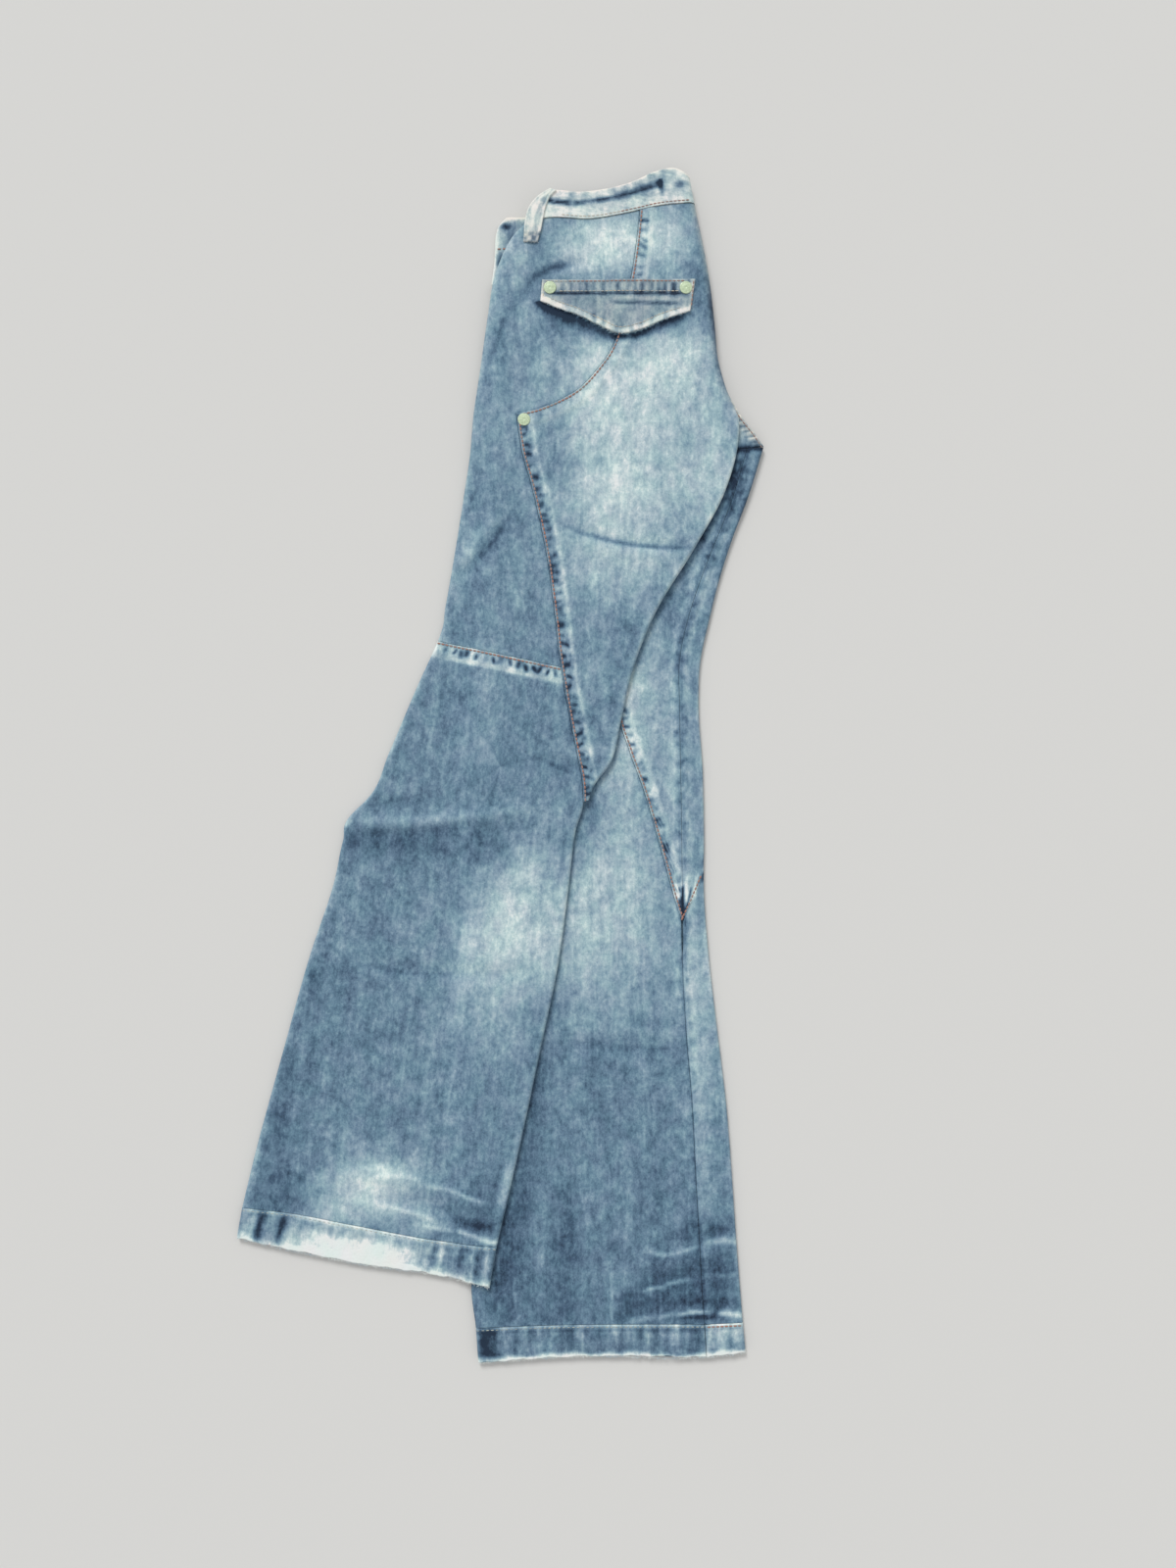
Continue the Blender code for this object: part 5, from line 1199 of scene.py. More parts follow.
veeStrokes = [  # pleats and worn ridges between the arms of the V: two ends, half width, lightness
    ((162.6, -136), (161.8, -108), 1.3, -0.75), ((165.0, -127), (169.5, -110), 1.2, -0.70),
    ((158.5, -120), (156.0, -104), 1.2, 0.42), ((166.0, -122), (164.5, -102), 1.6, 0.40),
    ((172.5, -116), (174.5, -98), 1.7, 0.40), ((179.6, -101), (180.2, -96), 1.7, -0.60),
    ((159.8, -128), (158.8, -120), 1.0, -0.30), ((179.4, -88), (179.8, -84), 1.6, -0.30),
]


def veeTone(x, y):
    total = 0
    for start, end, width, lightness in veeStrokes:
        distance = nearLine(np.array([start, end]), x, y)[0]
        total = total + lightness * bell(distance, width)
    return total


def rightBackFace(x, y):
    pleated = 0.4 * np.minimum(veeTone(x, y), 0)
    return rightHeight(x, y) + pucker("fellBack", x, y)[0] - intoCrotch(x, y) + pleated


def rightTone(x, y):
    lessWorn = 1 - 1.4 * smoothStep(60, 160, y)
    tone = legTone("right", x, y) + lessWorn * edgeWear(rightFoldLine, x, y, 0.20, 3.0)
    inseam, side, _ = nearLine(inseamLine, x, y)
    over = nearLine(innerLine, x, y)[0]
    # painted shadow that the upper leg's thick edge casts on this leg beside it
    upperLegShadow = 0.16 * bell(over, 8) * smoothStep(110, 150, y) + 0.10 * bell(over, 4)
    low = 1 - smoothStep(-180, -138, y)
    tone = tone - (0.08 + 0.05 * low) * bell(inseam, 1.1) - upperLegShadow
    tone = tone + 0.10 * low * bell(inseam - 4.5, 2.2) * (side > 0)
    tone = tone + 0.20 * low * smoothStep(-412, -396, y) * bell(inseam - 1.3, 0.9) * (side > 0)
    vee = bell(y + 112, 17) * bell(x - 167, 13)
    # darker where the cloth sinks into the crease under the crotch seam: painted shade
    return tone - 0.5 * intoCrotch(x, y) / crotchDip["depth"] + 0.26 * vee + veeTone(x, y)


def rightFrontTone(x, y):
    fade = smoothStep(-300, -120, y)
    return rightTone(x, y) + (0.3 + 0.5 * fade) * pucker("fellFront", x, y)[1] + seamShade(slantLine, x, y)


def wedgeTone(x, y):
    return rightTone(x, y) + puckers(("slant", "fellFront"), x, y)[1]


def rightBackTone(x, y):
    return rightTone(x, y) + (0.4 + 0.6 * smoothStep(-340, -200, y)) * pucker("fellBack", x, y)[1]


def buildRightLeg():
    wall = cloth["wall"]
    dress(clothPanel("right_wedge_cloth", Edge(edgeOf(rightLeg, "seam", "crotch", "V"), "seam"),
                     Edge(edgeOf(rightLeg, "inseam", "crotch", "V"), "plain"),
                     legRowsBetween(rightLeg, "crotch", "V", 420), 26, wedgeFace, wall),
          "right_thigh_wedge", wedgeTone)
    out = shareOf(rightLeg, "seam in sight", "out again", "hem stitching")
    ends = "seam in sight", "hem stitching"
    dress(clothPanel("right_front_cloth", Edge(edgeOf(rightLeg, "hidden", *ends), "fold", start=out),
                     Edge(edgeOf(rightLeg, "seam", *ends), "plain"), legRowsBetween(rightLeg, *ends, 560), 84,
                     rightFrontFace, wall, bottom=smoothLine(rightHemTop)),
          "right_lower_front", rightFrontTone)
    for node, start, end, length in (("right_back_upper", "crotch", "V", 420),
                                     ("right_back_lower", "V", "hem stitching", 360)):
        dress(clothPanel(node + "_cloth", Edge(edgeOf(rightLeg, "inseam", start, end), "plain"),
                         Edge(edgeOf(rightLeg, "inner", start, end), "fold"),
                         legRowsBetween(rightLeg, start, end, length), 11, rightBackFace, wall),
              node, rightBackTone)
    dress(clothPanel("crotch_seam_cloth", Edge(smoothLine(crotchInner), "plain"),
                     Edge(smoothLine(crotchOuter), "plain"), evenRows(56, wall), 14, crotchFace, wall),
          "crotch_seam", crotchTone, crotchWarm)
    print("right leg made")


crotchRipple = {"pitch": 6.4, "slant": 0.5, "height": 0.3}


def crotchPlace(x, y):
    distance, _, along = nearLine(smoothed(crotchOuter, 30), x, y)
    turns = 2 * pi * along / crotchRipple["pitch"]
    wave = np.sin(turns + crotchRipple["slant"] * distance + np.sin(along / 6))
    return distance, wave * bell(distance - 4.5, 4)


def crotchFace(x, y):
    wave = crotchPlace(x, y)[1]
    return rightBase(x, y) + 0.2 + crotchRipple["height"] * wave - intoCrotch(x, y)


def crotchTone(x, y):
    distance, wave = crotchPlace(x, y)
    tone = 0.60 + 0.24 * wave + 0.20 * bell(distance, 2.5) - 0.22 * smoothStep(7, 14, distance)
    tone = tone + 0.22 * spot(x, y, 213, 292, 3.5, 8)
    # darker where the cloth sinks into the crease under the crotch seam: painted shade
    return tone - 0.5 * intoCrotch(x, y) / crotchDip["depth"] + 0.05 * wobble(x, y, 8, 19)


def crotchWarm(x, y):
    return 1.1 * bell(crotchPlace(x, y)[0], 8)


# waistband, loop and flap, and the dark and pale spots on them; the dark spots in the band's dents and under
# its crease, and in the front band's hollows, are painted shade
StainAndShade = namedtuple("StainAndShade", "x y across along tone")
stainsAndShade = namedRows(StainAndShade, {
    "band": [(141.5, 515, 2.6, 2.6, -0.60), (159, 514, 5.5, 2.6, -0.75), (100, 494, 4, 3, -0.14),
             (150, 522, 12, 5, -0.14), (130, 506, 11, 4, -0.20), (50, 488, 9, 7, 0.12)],
    "frontBand": [(4.5, 481.5, 5, 3.2, -0.85), (9, 472, 5, 5, -0.30), (0, 449.5, 4, 5.5, -0.62),
                  (-1, 465, 4, 3, 0.25)],
    "loop": [(38, 499, 2.6, 3, -0.50)],
    "flap": [(52, 420, 8, 3, -0.16), (60, 405, 22, 10, -0.10)],
})


def stainAndShadeSum(piece, x, y):
    return sum(entry.tone * spot(x, y, *entry[:4]) for entry in stainsAndShade[piece])


band = {"raise": 1.2, "join": np.array([(141.5, 516), (143.5, 507)]),
        "crease": pointList((44, 499.5), (56, 498.2), (69, 498), (86, 500), (99, 502.3), (112, 505.5),
                            (125, 510), (141, 515.5))}


def bandHeight(x, y):
    return leftBase(x, y) + band["raise"]


def bandLines(x, y):
    crease, side, along = nearLine(smoothed(band["crease"], 30), x, y)
    width = 1.8 + 0.8 * smoothStep(96, 116, x) + 0.5 * np.sin(along / 8.5) + 0.35 * np.sin(along / 3.3 + 1)
    return crease, side, width, nearLine(band["join"], x, y)[0]


def bandFace(x, y):
    crease, _, width, join = bandLines(x, y)
    dent = spot(x, y, 160, 513.5, 6, 2.5)
    creased = bandHeight(x, y) - 0.7 * bell(crease, width) - 0.5 * bell(join, 1.8)
    return creased - 0.4 * dent + 0.15 * wobble(x, y, 13, 14)


def bandTone(x, y):
    crease, side, width, join = bandLines(x, y)
    edge, _, along = nearLine(smoothed(bandTop, 40), x, y)
    upper = (side > 0) * smoothStep(0, 4, crease)
    tone = 0.90 - 0.02 * upper
    tone = tone + 0.16 * bell(edge, 1.6) + 0.16 * upper * np.sin(along / 5.3) * np.sin(along / 2.9 + 2)
    # darker in the crease and along the join, where the band dips: painted shade
    deep = 0.90 - 0.20 * smoothStep(84, 100, x) + 0.1 * smoothStep(120, 138, x) - 0.5 * bell(x - 63.5, 3)
    tone = tone - deep * bell(crease, width) - 0.12 * bell(crease, 6) - 0.50 * bell(join, 2.2)
    tone = tone - 0.10 * smoothStep(112, 126, x) * (y > 506) * (x < 138)
    return tone + stainAndShadeSum("band", x, y) + 0.10 * wobble(x, y, 9, 15)


def bandWarm(x, y):
    edge = nearLine(smoothed(bandTop, 40), x, y)[0]
    return 0.25 + 0.6 * bell(edge, 1.6)


def underBand(x, y):
    return np.maximum(bandHeight(x, y) - lift["legThick"] - band["raise"], foldUnder["floor"])


def frontBandFace(x, y):
    hollow = spot(x, y, 5, 481, 5, 4)
    return 4.0 - 1.0 * hollow - 0.5 * spot(x, y, -1, 450, 4, 6) + 0.1 * wobble(x, y, 9, 33)


def frontBandTone(x, y):
    edge = nearLine(smoothed(frontBandOuter, 30), x, y)[0]
    tone = 0.62 + 0.5 * bell(edge, 2.6) + 0.5 * bell(y - 489.5, 3.2)
    return tone + stainAndShadeSum("frontBand", x, y) + 0.08 * wobble(x, y, 8, 16)


def frontBandWarm(x, y):
    return 0.2 + 0.5 * bell(y - 489.5, 3)


def loopHeight(x, y):
    sink = smoothStep(480, 464, y)
    return highestNear(bandHeight, x, y, 10.0) + cloth["layGap"] + cloth["loopWall"] - sink


def loopEdges(x, y):
    outer = nearLine(smoothed(loopOuter, 30), x, y)[0]
    inner = nearLine(smoothed(loopInner, 30), x, y)[0]
    return outer, inner, outer / (outer + inner + 1e-6)


def loopFace(x, y):
    outer, inner, share = loopEdges(x, y)
    sewn = bell(outer - 2.2, 0.9) + bell(inner - 2.2, 0.9)
    folded = bell(y - 469.5, 1.5)
    ridge = bell(share - 0.5, 0.22)
    return loopHeight(x, y) + 0.35 * ridge - 0.3 * sewn - 0.5 * folded - 0.35


def loopTone(x, y):
    outer, inner, share = loopEdges(x, y)
    tone = 1.0 - 0.22 * smoothStep(0.46, 0.60, share) * (inner > 2.4) * (y < 497)
    tone = tone - 0.10 * (bell(outer - 2.2, 0.9) + bell(inner - 2.2, 0.9))
    folded = bell(y - 470, 1.8) * (0.6 + 0.4 * np.sin(x / 1.3))
    bar = (1 - smoothStep(467, 469.5, y)) * (0.32 + 0.22 * np.sin(x / 1.1) * np.sin(y / 1.4 + 1))
    return tone + stainAndShadeSum("loop", x, y) - 0.55 * folded - bar + 0.08 * wobble(x, y, 7, 17)


def loopWarm(x, y):
    return 0.45 + 0.8 * (1 - smoothStep(467, 474, y))


flap = {"proud": 1.6, "drop": 48.0, "rows": [428.3, 417.6], "fold": 409.0,
        "pleats": [(46, 0.3), (55, 0.5), (63, 0.6), (71, 0.4), (76.5, 0.9), (82, 0.5), (91, 0.7), (97, 0.4),
                   (104, 0.8), (113, 0.6), (120, 0.4), (125.5, 0.9), (134, 0.6), (140, 0.5), (146, 0.9),
                   (153, 1.2)],
        "lowPleats": [(60, 0.4), (72, 0.5), (83, 0.9), (91, 0.6), (103, 1.0), (107, 0.8), (116, 0.9),
                      (124, 0.6), (134, 0.5), (146, 0.7), (156, 0.4)]}


def flapHeight(x, y):
    down = np.clip((flapTop[0].y - y) / flap["drop"], 0, 1)
    return highestNear(seatHeight, x, y, 6.0) + cloth["layGap"] + cloth["flapWall"] + flap["proud"] * down**2


def pleats(key, x, width):
    places, strengths = np.array(flap[key]).T
    return np.minimum((strengths * bell(x[..., None] - places, width)).sum(axis=-1), 1.1)


def flapPlace(x, y):
    # between the rows of stitching, near the lower edge, in the row's groove and in the pressed line
    edge = nearLine(smoothed(flapBottom, 50), x, y)[0]
    between = smoothStep(417.5, 419.5, y) * (1 - smoothStep(426, 428, y))
    low = bell(np.maximum(edge - 5.5, 0), 3.0)
    groove = bell(y - flap["rows"][1], 1.5) * smoothStep(42, 50, x) * (1 - smoothStep(158, 164, x))
    pressed = bell(y - flap["fold"] + (x - 130) * 0.01, 1.5) * smoothStep(96, 106, x)
    pressed = pressed * (1 - smoothStep(154, 162, x))
    return edge, between, low, groove, pressed


def flapFace(x, y):
    _, between, low, groove, pressed = flapPlace(x, y)
    sunk = flapHeight(x, y) - 0.4 * pleats("pleats", x, 1.9) * between - 0.45 * groove - 0.4 * pressed - 0.25
    return sunk - 0.35 * pleats("lowPleats", x, 2.0) * low


def flapTone(x, y):
    edge, between, low, groove, pressed = flapPlace(x, y)
    fringe = 1 - smoothStep(3.4, 6.4, edge + 0.8 * np.sin(x / 2.3) * np.sin(x / 5.1))
    tone = 0.56 + 0.14 * between - 0.50 * pleats("pleats", x, 2.0) * between - 0.52 * groove
    tone = tone - 0.40 * pressed + 0.12 * bell(y - 413, 1.6) * smoothStep(98, 104, x)
    tone = tone + 0.12 * low * (1 - fringe) - 0.34 * pleats("lowPleats", x, 2.0) * low + 0.40 * fringe
    sides = np.minimum(np.abs(x - 36.5), np.abs(x - 170.5))
    tone = tone + 0.30 * bell(sides, 2.2) + 0.10 * bell(y - 430.5, 1.0)
    tone = tone + 0.30 * (x < 44) * (y < 414) - 0.22 * bell(x - 155, 4) * (y > 412) * (y < 427)
    return tone + stainAndShadeSum("flap", x, y) + 0.08 * wobble(x, y, 10, 18)


def flapWarm(x, y):
    return 0.70 + 0.25 * wobble(x, y, 50, 34) - 0.35 * bell(flapPlace(x, y)[0], 5)


def plainEdges(first, second):
    return Edge(smoothLine(first), "plain"), Edge(smoothLine(second), "plain")


def buildWaist():
    wall = cloth["bandWall"]
    dress(clothPanel("waistband_cloth", Edge(lineBetween(bandTop[0], waistSeam[0]), "fold", underBand),
                     Edge(lineBetween(bandTop[-1], waistSeam[-1]), "fold"), evenRows(24, wall), 76,
                     bandFace, wall, top=smoothLine(bandTop), bottom=smoothLine(waistSeam),
                     bottomGap=cloth["bandGap"], lean=-80),
          "waistband_back", bandTone, bandWarm)
    dress(clothPanel("waistband_front_cloth", *plainEdges(frontBandOuter, frontBandInner),
                     evenRows(62, wall), 14, frontBandFace, wall),
          "waistband_front", frontBandTone, frontBandWarm)
    wall = cloth["loopWall"]
    dress(clothPanel("belt_loop_cloth", *plainEdges(loopOuter, loopInner),
                     endRows(np.linspace(0, 1, 36), 50, wall / 2), 16, loopFace, wall),
          "belt_loop_side", loopTone, loopWarm)
    wall = cloth["flapWall"]
    sides = plainEdges([flapTop[0], flapBottom[0]], [flapTop[-1], flapBottom[-1]])
    dress(clothPanel("pocket_flap_cloth", *sides, evenRows(46, wall), 86, flapFace, wall,
                     top=smoothLine(flapTop), bottom=smoothLine(flapBottom), ragged=0.5),
          "pocket_flap", flapTone, flapWarm)
    print("waist made")


# the layers that the fold hides, as one stack with an edge of rounded layers
stack = {"clear": 1.6, "edgeInset": 9.8, "seatInset": 13.5, "openInset": 1.5, "bandInset": 3.0,
         "stepInset": 11.0, "stepInsetHem": 27.0, "stepRun": 3.0,
         "hipLip": 5.5, "spacing": 13.0, "lattice": 26.0, "layers": 5,
         "groove": 1.1, "hemDepth": 33.0}


def inside(polygon, x, y):
    hit = False
    for (ax, ay), (bx, by) in zip(polygon, np.roll(polygon, -1, axis=0)):
        if (ay > y) != (by > y) and x < ax + (y - ay) / (by - ay) * (bx - ax):
            hit = not hit
    return hit


def stackOutline():
    leftEdge = stretch(smoothLine(leftHemBottom), 0.1, 0.9)
    rightEdge = stretch(smoothLine(rightHemBottom + [rightHemCorner]), 0.07, 0.93)
    bandEdge = stretch(smoothLine(bandTop), 0.175, 0.89)
    hip = edgeOf(leftLeg, "side", "low flap", "crotch")
    side = edgeOf(leftLeg, "side", "upper thigh", "hem stitching")
    outAgain = edgeOf(rightLeg, "hidden", "out again", "hem stitching")
    inner = edgeOf(rightLeg, "inner", "crotch", "hem stitching")
    seat = edgeOf(leftLeg, "inner", "waist", "hip")
    # each run: its line, whether grooves part the layers, and how far the lowest layers stand out
    runs = [
        (inset(sampled(hip, 40), stack["edgeInset"]), 0, stack["hipLip"]),
        (inset(sampled(side, 140), stack["edgeInset"]), 0, 0),
        (inset(sampled(leftEdge, 50), stack["openInset"]), 0, 0),
        (inset(sampled(outAgain, 10), stack["edgeInset"]), 0, 0),
        (inset(sampled(rightEdge, 50), stack["openInset"]), 0, 0),
        (inset(sampled(inner, 200)[::-1], stack["edgeInset"]), 0, 0),
        (np.array(crotchEdge, dtype=float), 1, 0),
        (inset(sampled(seat, 40)[::-1], stack["seatInset"]), 1, 0),
        (inset(sampled(bandEdge, 45)[::-1], stack["bandInset"]), 1, 0),
        (np.array(frontStep, dtype=float), 1, 0),
    ]
    points, grooved, lips = [], [], []
    for line, groove, lip in runs:
        marks = spaced(line, stack["spacing"])
        points += list(marks)
        grooved += [groove] * len(marks)
        lips += [lip] * len(marks)
    return np.array(points), grooved, lips


def stackSteps():
    inner = sampled(edgeOf(leftLeg, "inner", "high sweep", "hem stitching"), 160)[::-1]
    away = np.interp(inner[:, 1], [-430, -360], [stack["stepInsetHem"], stack["stepInset"]])
    lines = []
    for extra, belowHem in ((stack["stepRun"], 5.0), (0.0, 2.5)):
        line = inset(inner, (away + extra)[:, None])
        corner = line[0] + (0, -(stack["hemDepth"] - belowHem))
        lines.append(np.vstack([corner, spaced(line, stack["spacing"])]))
    return lines


def stackCore(upper):
    side = sampled(edgeOf(leftLeg, "side", "low flap", "hem stitching"), 80)
    hem = smoothed(leftHemBottom, 20)
    hem = hem[hem[:, 0] < upper[0, 0]]
    seat = sampled(edgeOf(leftLeg, "inner", "waist", "hip"), 20)[::-1]
    bandEdge = smoothed(bandTop, 20)[::-1]
    return np.vstack([side, hem, upper + (0.1, 0), seat, bandEdge, np.array(frontStep) - (3, 0)])


def buildStack():
    outline, grooved, lips = stackOutline()
    upper, lower = stackSteps()
    rimCount, lowerFrom = len(outline), len(outline) + len(upper)
    places = np.vstack([outline, upper, lower])
    edges = [(i, (i + 1) % rimCount) for i in range(rimCount)]
    edges += [(i, i + 1) for i in range(rimCount, len(places) - 1) if i + 1 != lowerFrom]
    pitch = stack["lattice"]
    lattice = [(x, y) for x in np.arange(-240, 240, pitch) for y in np.arange(-540, 540, pitch)
               if inside(outline, x, y) and np.hypot(*(places - (x, y)).T).min() > pitch * 0.55]
    coords = [Vector(p) for p in np.vstack([places, lattice])]
    verts, _, faces, origins, _, _ = delaunay_2d_cdt(coords, edges, [list(range(rimCount))], 1, 1e-4)
    core = stackCore(upper)
    bm = bmesh.new()
    outward = bm.verts.layers.float_vector.new("outward")
    lip = bm.verts.layers.float.new("lip")
    grain = bm.verts.layers.float_vector.new("grain")
    sunk = bm.verts.layers.float.new("sunk")
    for place, sources in zip(verts, origins):
        source = sources[0]
        x, y = np.array([place[0]]), np.array([place[1]])
        onCore = inside(core, *place) and not lowerFrom <= source < len(places)
        face = np.minimum.reduce(around(leftBase, x, y, 20.0))[0] if onCore else rightBase(x, y)[0]
        vert = bm.verts.new((*place, face - cloth["wall"] - stack["clear"]))
        vert[grain] = (place[0], place[1], 0)
        if source < rimCount:
            run = outline[(source + 1) % rimCount] - outline[source - 1]
            run /= np.linalg.norm(run)
            vert[outward] = (run[1], -run[0], grooved[source])
            vert[lip] = lips[source]
    bm.verts.ensure_lookup_table()
    for face in faces:
        bm.faces.new([bm.verts[i] for i in face])
    rim = [e for e in bm.edges if e.is_boundary]
    tops = {}
    for level in np.linspace(1, 0, stack["layers"] * 6 + 1)[2:]:
        round_ = abs(sin(level * stack["layers"] * pi))
        extruded = bmesh.ops.extrude_edge_only(bm, edges=rim)["geom"]
        rim = [e for e in extruded if isinstance(e, bmesh.types.BMEdge) and e.is_boundary]
        for vert in {v for e in rim for v in e.verts}:
            away = vert[outward]
            top = tops.get(vert.co.xy.to_tuple(3), vert.co.copy())
            out = 0.7 - stack["groove"] * away.z * (1 - round_)**2 + vert[lip] * (level <= 0.3)
            vert.co = Vector((top.x + away.x * out, top.y + away.y * out, top.z * level + 0.001))
            down = top.z * (1 - level)
            vert[grain] = (top.x + away.x * down, top.y + away.y * down, 0)
            vert[sunk] = 1 - round_
            tops[vert.co.xy.to_tuple(3)] = top
    bmesh.ops.contextual_create(bm, geom=rim)
    bmesh.ops.recalc_face_normals(bm, faces=bm.faces[:])
    bm.verts.layers.float_vector.remove(bm.verts.layers.float_vector["outward"])
    bm.verts.layers.float.remove(bm.verts.layers.float["lip"])
    piece = finished("folded_layers_cloth", bm)
    creased = np.zeros(len(piece.data.vertices))
    piece.data.attributes["sunk"].data.foreach_get("value", creased)
    # darker in the grooves between the layers: painted shade
    paint(piece, lambda x, y: 0.42 + 0.10 * wobble(x, y, 24, 19) - 0.30 * creased**2)
    piece["cut"] = [0.44, 1.04, 0.24]
    wear(piece, denim, ["folded_layers"])
    print("hidden layers made")


# rivets: a domed cap with a rolled rim and a sunk middle
rivetCap = {"radius": 5.5, "steps": 40, "profile": [
    (0.0, 0.0), (0.96, 0.0), (1.0, 0.12), (1.0, 0.36), (0.96, 0.52), (0.88, 0.62), (0.80, 0.63), (0.74, 0.60),
    (0.62, 0.72), (0.42, 0.84), (0.24, 0.88), (0.18, 0.82), (0.12, 0.70), (0.0, 0.66)]}
Rivet = namedtuple("Rivet", "node x y height")


def rivetMaterial():
    board = Board("rivet_metal")
    place = board.add("ShaderNodeTexCoord", {}, {}, "Object")
    worn = board.noise(place, (900, 900, 900), 3.0)
    dull = board.mapped(worn, 0.4, 0.7)
    board.shade({"Base Color": board.blend(dull, linear(194, 210, 178), linear(162, 180, 146)),
                 "Metallic": 0.15, "Roughness": dull * 0.2 + 0.34, "Normal": board.bump(worn, 0.0002, 0.4)})
    return board.material


def buildRivets():
    metal = rivetMaterial()
    radius = rivetCap["radius"]
    for rivet in (Rivet("rivet_flap_side", 44.0, 422.5, flapHeight),
                  Rivet("rivet_flap_centre", 164.0, 422.5, flapHeight),
                  Rivet("rivet_seam", 21.0, 306.5, seatHeight)):
        x, y = np.array([rivet.x]), np.array([rivet.y])
        seat = highestNear(rivet.height, x, y, radius)[0] + 0.05
        bm = bmesh.new()
        verts = [bm.verts.new((share * radius, 0, seat + level)) for share, level in rivetCap["profile"]]
        edges = [bm.edges.new(pair) for pair in zip(verts, verts[1:])]
        bmesh.ops.spin(bm, geom=verts + edges, cent=(0, 0, 0), axis=(0, 0, 1), angle=2 * pi,
                       steps=rivetCap["steps"], use_merge=True, use_duplicate=False)
        bmesh.ops.remove_doubles(bm, verts=bm.verts[:], dist=1e-4)
        bmesh.ops.recalc_face_normals(bm, faces=bm.faces[:])
        bmesh.ops.translate(bm, verts=bm.verts[:], vec=(rivet.x, rivet.y, 0))
        piece = finished(rivet.node + "_cap", bm)
        wear(piece, metal, [rivet.node])
    print("rivets made")


def buildStitching():
    hemLook = {"pitch": 4.2, "thick": 0.8, "length": 2.6, "sit": -0.1}
    seam = stitchRows["seam"]
    row, groove = flap["rows"]
    flapRows = [np.array([(60.0, row), (163.0, row + 0.4)]), np.array([(171.0, 429), (168.8, 406)])]
    paleRows = [np.array([(39.5, row), (60.0, row)]), np.array([(38.8, 428), (37.9, 414)]),
                np.array([(52.0, groove + 2.0), (158.0, groove + 2.2)]),
                inset(smoothed(flapBottom, 60), stitchRows["flap"])[3:-3]]
    waist = inset(smoothed(waistSeam, 60), stitchRows["waist"])
    leftRow, rightRow = (inset(smoothed(top, 60), stitchRows["hem"]) for top in (leftHemTop, rightHemTop))
    vee = np.array([(162.3, -138), (171.0, -119.5), (180.0, -98.0)])
    corner = np.array([(183.4, -499.6), (214.5, -498.2)])
    frontRow = np.array([(-4.0, 461.2), (5.5, 461.6)])
    for name, lines, height, material, look in (
            ("hip_seam_stitches", [inset(hipLine, seam)[:-1]], seatFace, orangeThread, {}),
            ("seat_seam_stitches", [inset(seatLine, seam)[1:]], seatFace, orangeThread, {}),
            ("knee_seam_stitches", [inset(smoothed(kneeLine, 20), -seam)], lowerFace, orangeThread, {}),
            ("waist_stitches", [waist[12:34]], bandFace, paleThread, {"thick": 0.9}),
            ("waist_orange_stitches", [waist[33:-2]], bandFace, orangeThread, {"thick": 1.1}),
            ("flap_stitches", flapRows, flapFace, orangeThread, {"thick": 1.1}),
            ("flap_pale_stitches", paleRows, flapFace, paleThread, {"thick": 0.8}),
            ("slant_seam_stitches", [inset(slantLine, seam)], wedgeFace, orangeThread, {}),
            ("vee_stitches", [inset(vee, seam)], rightBackFace, orangeThread, {}),
            ("crotch_stitches", [inset(smoothed(crotchOuter, 30), stitchRows["crotch"])], crotchFace,
             orangeThread, {"thick": 1.1}),
            ("left_hem_stitches", [leftRow], leftHemFace, wornThread, hemLook),
            ("right_hem_stitches", [rightRow], rightHemFace, wornThread,
             {**hemLook, "length": 2.8, "thick": 0.9, "sit": 0}),
            ("right_hem_back_stitches", [corner], rightHemFace, orangeThread, {}),
            ("front_band_stitches", [frontRow], frontBandFace, orangeThread, {})):
        stitching(name, lines, height, material, **look)
    print("stitching made")


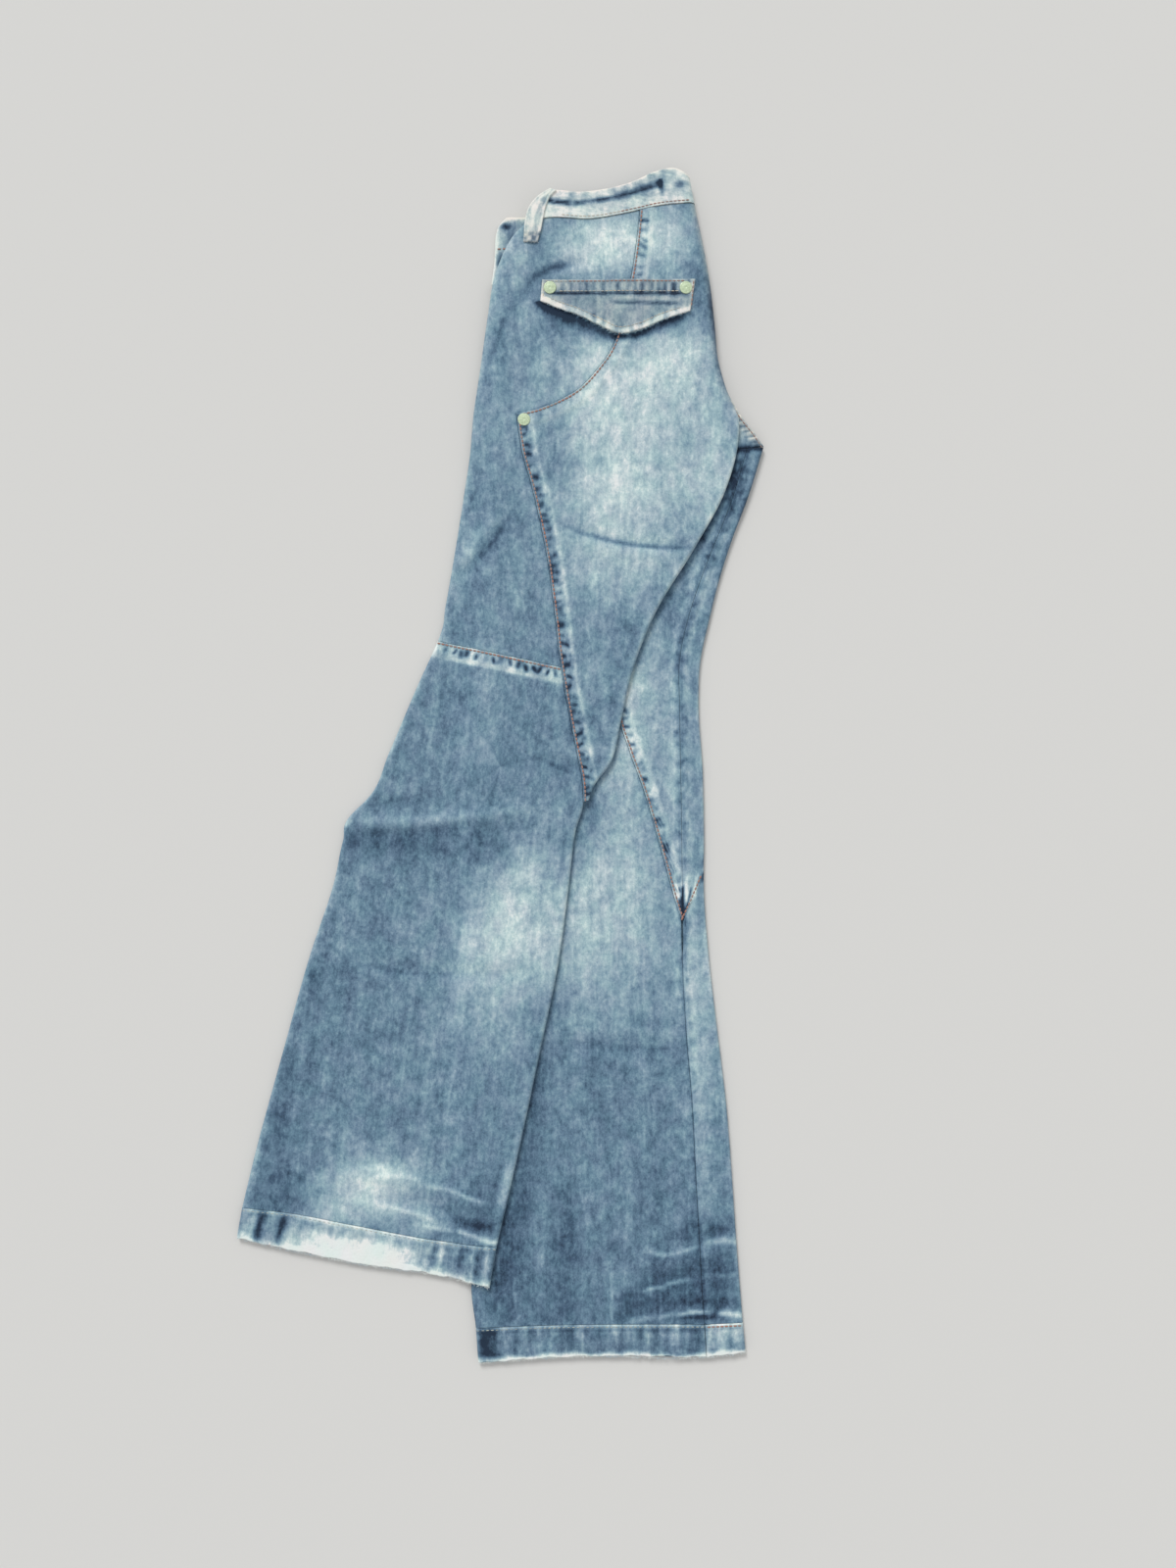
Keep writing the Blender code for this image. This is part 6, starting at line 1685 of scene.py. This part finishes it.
def buildFrays():
    middleMost = {"dense": lambda s: 0.35 + 0.65 * bell(s - 0.45, 0.3)}
    rightEdge = smoothed(rightHemBottom + [rightHemCorner], 80)
    loopEnd = np.array([(20.6, 463.6), (33.0, 463.2)])
    for name, line, height, seed, count, length, thick, comb, deep, more in (
            ("left_hem_fray", smoothed(leftHemBottom, 80), leftHemFace, 41, 900, 2.6, 0.42, 0.7, 2.0,
             middleMost),
            ("right_hem_fray", rightEdge, rightHemFace, 42, 700, 2.2, 0.42, 0.8, 2.0, {}),
            ("flap_fray", smoothed(flapBottom, 60), flapFace, 43, 420, 1.1, 0.36, 0.9, 1.6, {}),
            ("loop_fray", loopEnd, loopFace, 44, 50, 1.6, 0.36, 0.8, 1.4, {})):
        fray(name, line, height, {"seed": seed, "count": count, "length": length, "thick": thick,
                                  "comb": comb, "deep": deep, **more})
    print("frays made")


# floor, light and camera
studio = {"camera": (0.07846, -0.01422, 1.2), "lens": 30.787, "floor": (206, 205, 202), "world": 0.70,
          "sky": (0.98, 0.99, 1.0, 1.0),
          "key": (-0.35, 1.0, 0.85), "keySpread": 0.35, "keyPower": 1.95}


def buildStudio():
    bm = bmesh.new()
    bmesh.ops.create_grid(bm, x_segments=1, y_segments=1, size=4.0)
    mesh = bpy.data.meshes.new("floor")
    bm.to_mesh(mesh)
    bm.free()
    floor = bpy.data.objects.new("floor", mesh)
    floor.location.z = -0.0003
    bpy.context.collection.objects.link(floor)
    board = Board("floor")
    board.shade({"Base Color": linear(*studio["floor"]), "Roughness": 0.9})
    mesh.materials.append(board.material)
    camera = bpy.data.objects.new("camera", bpy.data.cameras.new("camera"))
    camera.data.lens = studio["lens"]
    camera.location = studio["camera"]
    bpy.context.collection.objects.link(camera)
    bpy.context.scene.camera = camera
    lamp = bpy.data.lights.new("key", "SUN")
    lamp.angle = studio["keySpread"]
    lamp.energy = studio["keyPower"]
    key = bpy.data.objects.new("key", lamp)
    key.location = studio["key"]
    key.rotation_euler = (-Vector(studio["key"])).to_track_quat("-Z", "Y").to_euler()
    bpy.context.collection.objects.link(key)
    world = bpy.data.worlds.new("studio")
    world.use_nodes = True
    background = world.node_tree.nodes["Background"].inputs
    background["Color"].default_value = studio["sky"]
    background["Strength"].default_value = studio["world"]
    bpy.context.scene.world = world
    bpy.context.scene.view_settings.view_transform = "Standard"


buildLeftLeg()
buildHems()
buildRightLeg()
buildWaist()
buildStack()
buildRivets()
buildStitching()
buildFrays()
buildStudio()
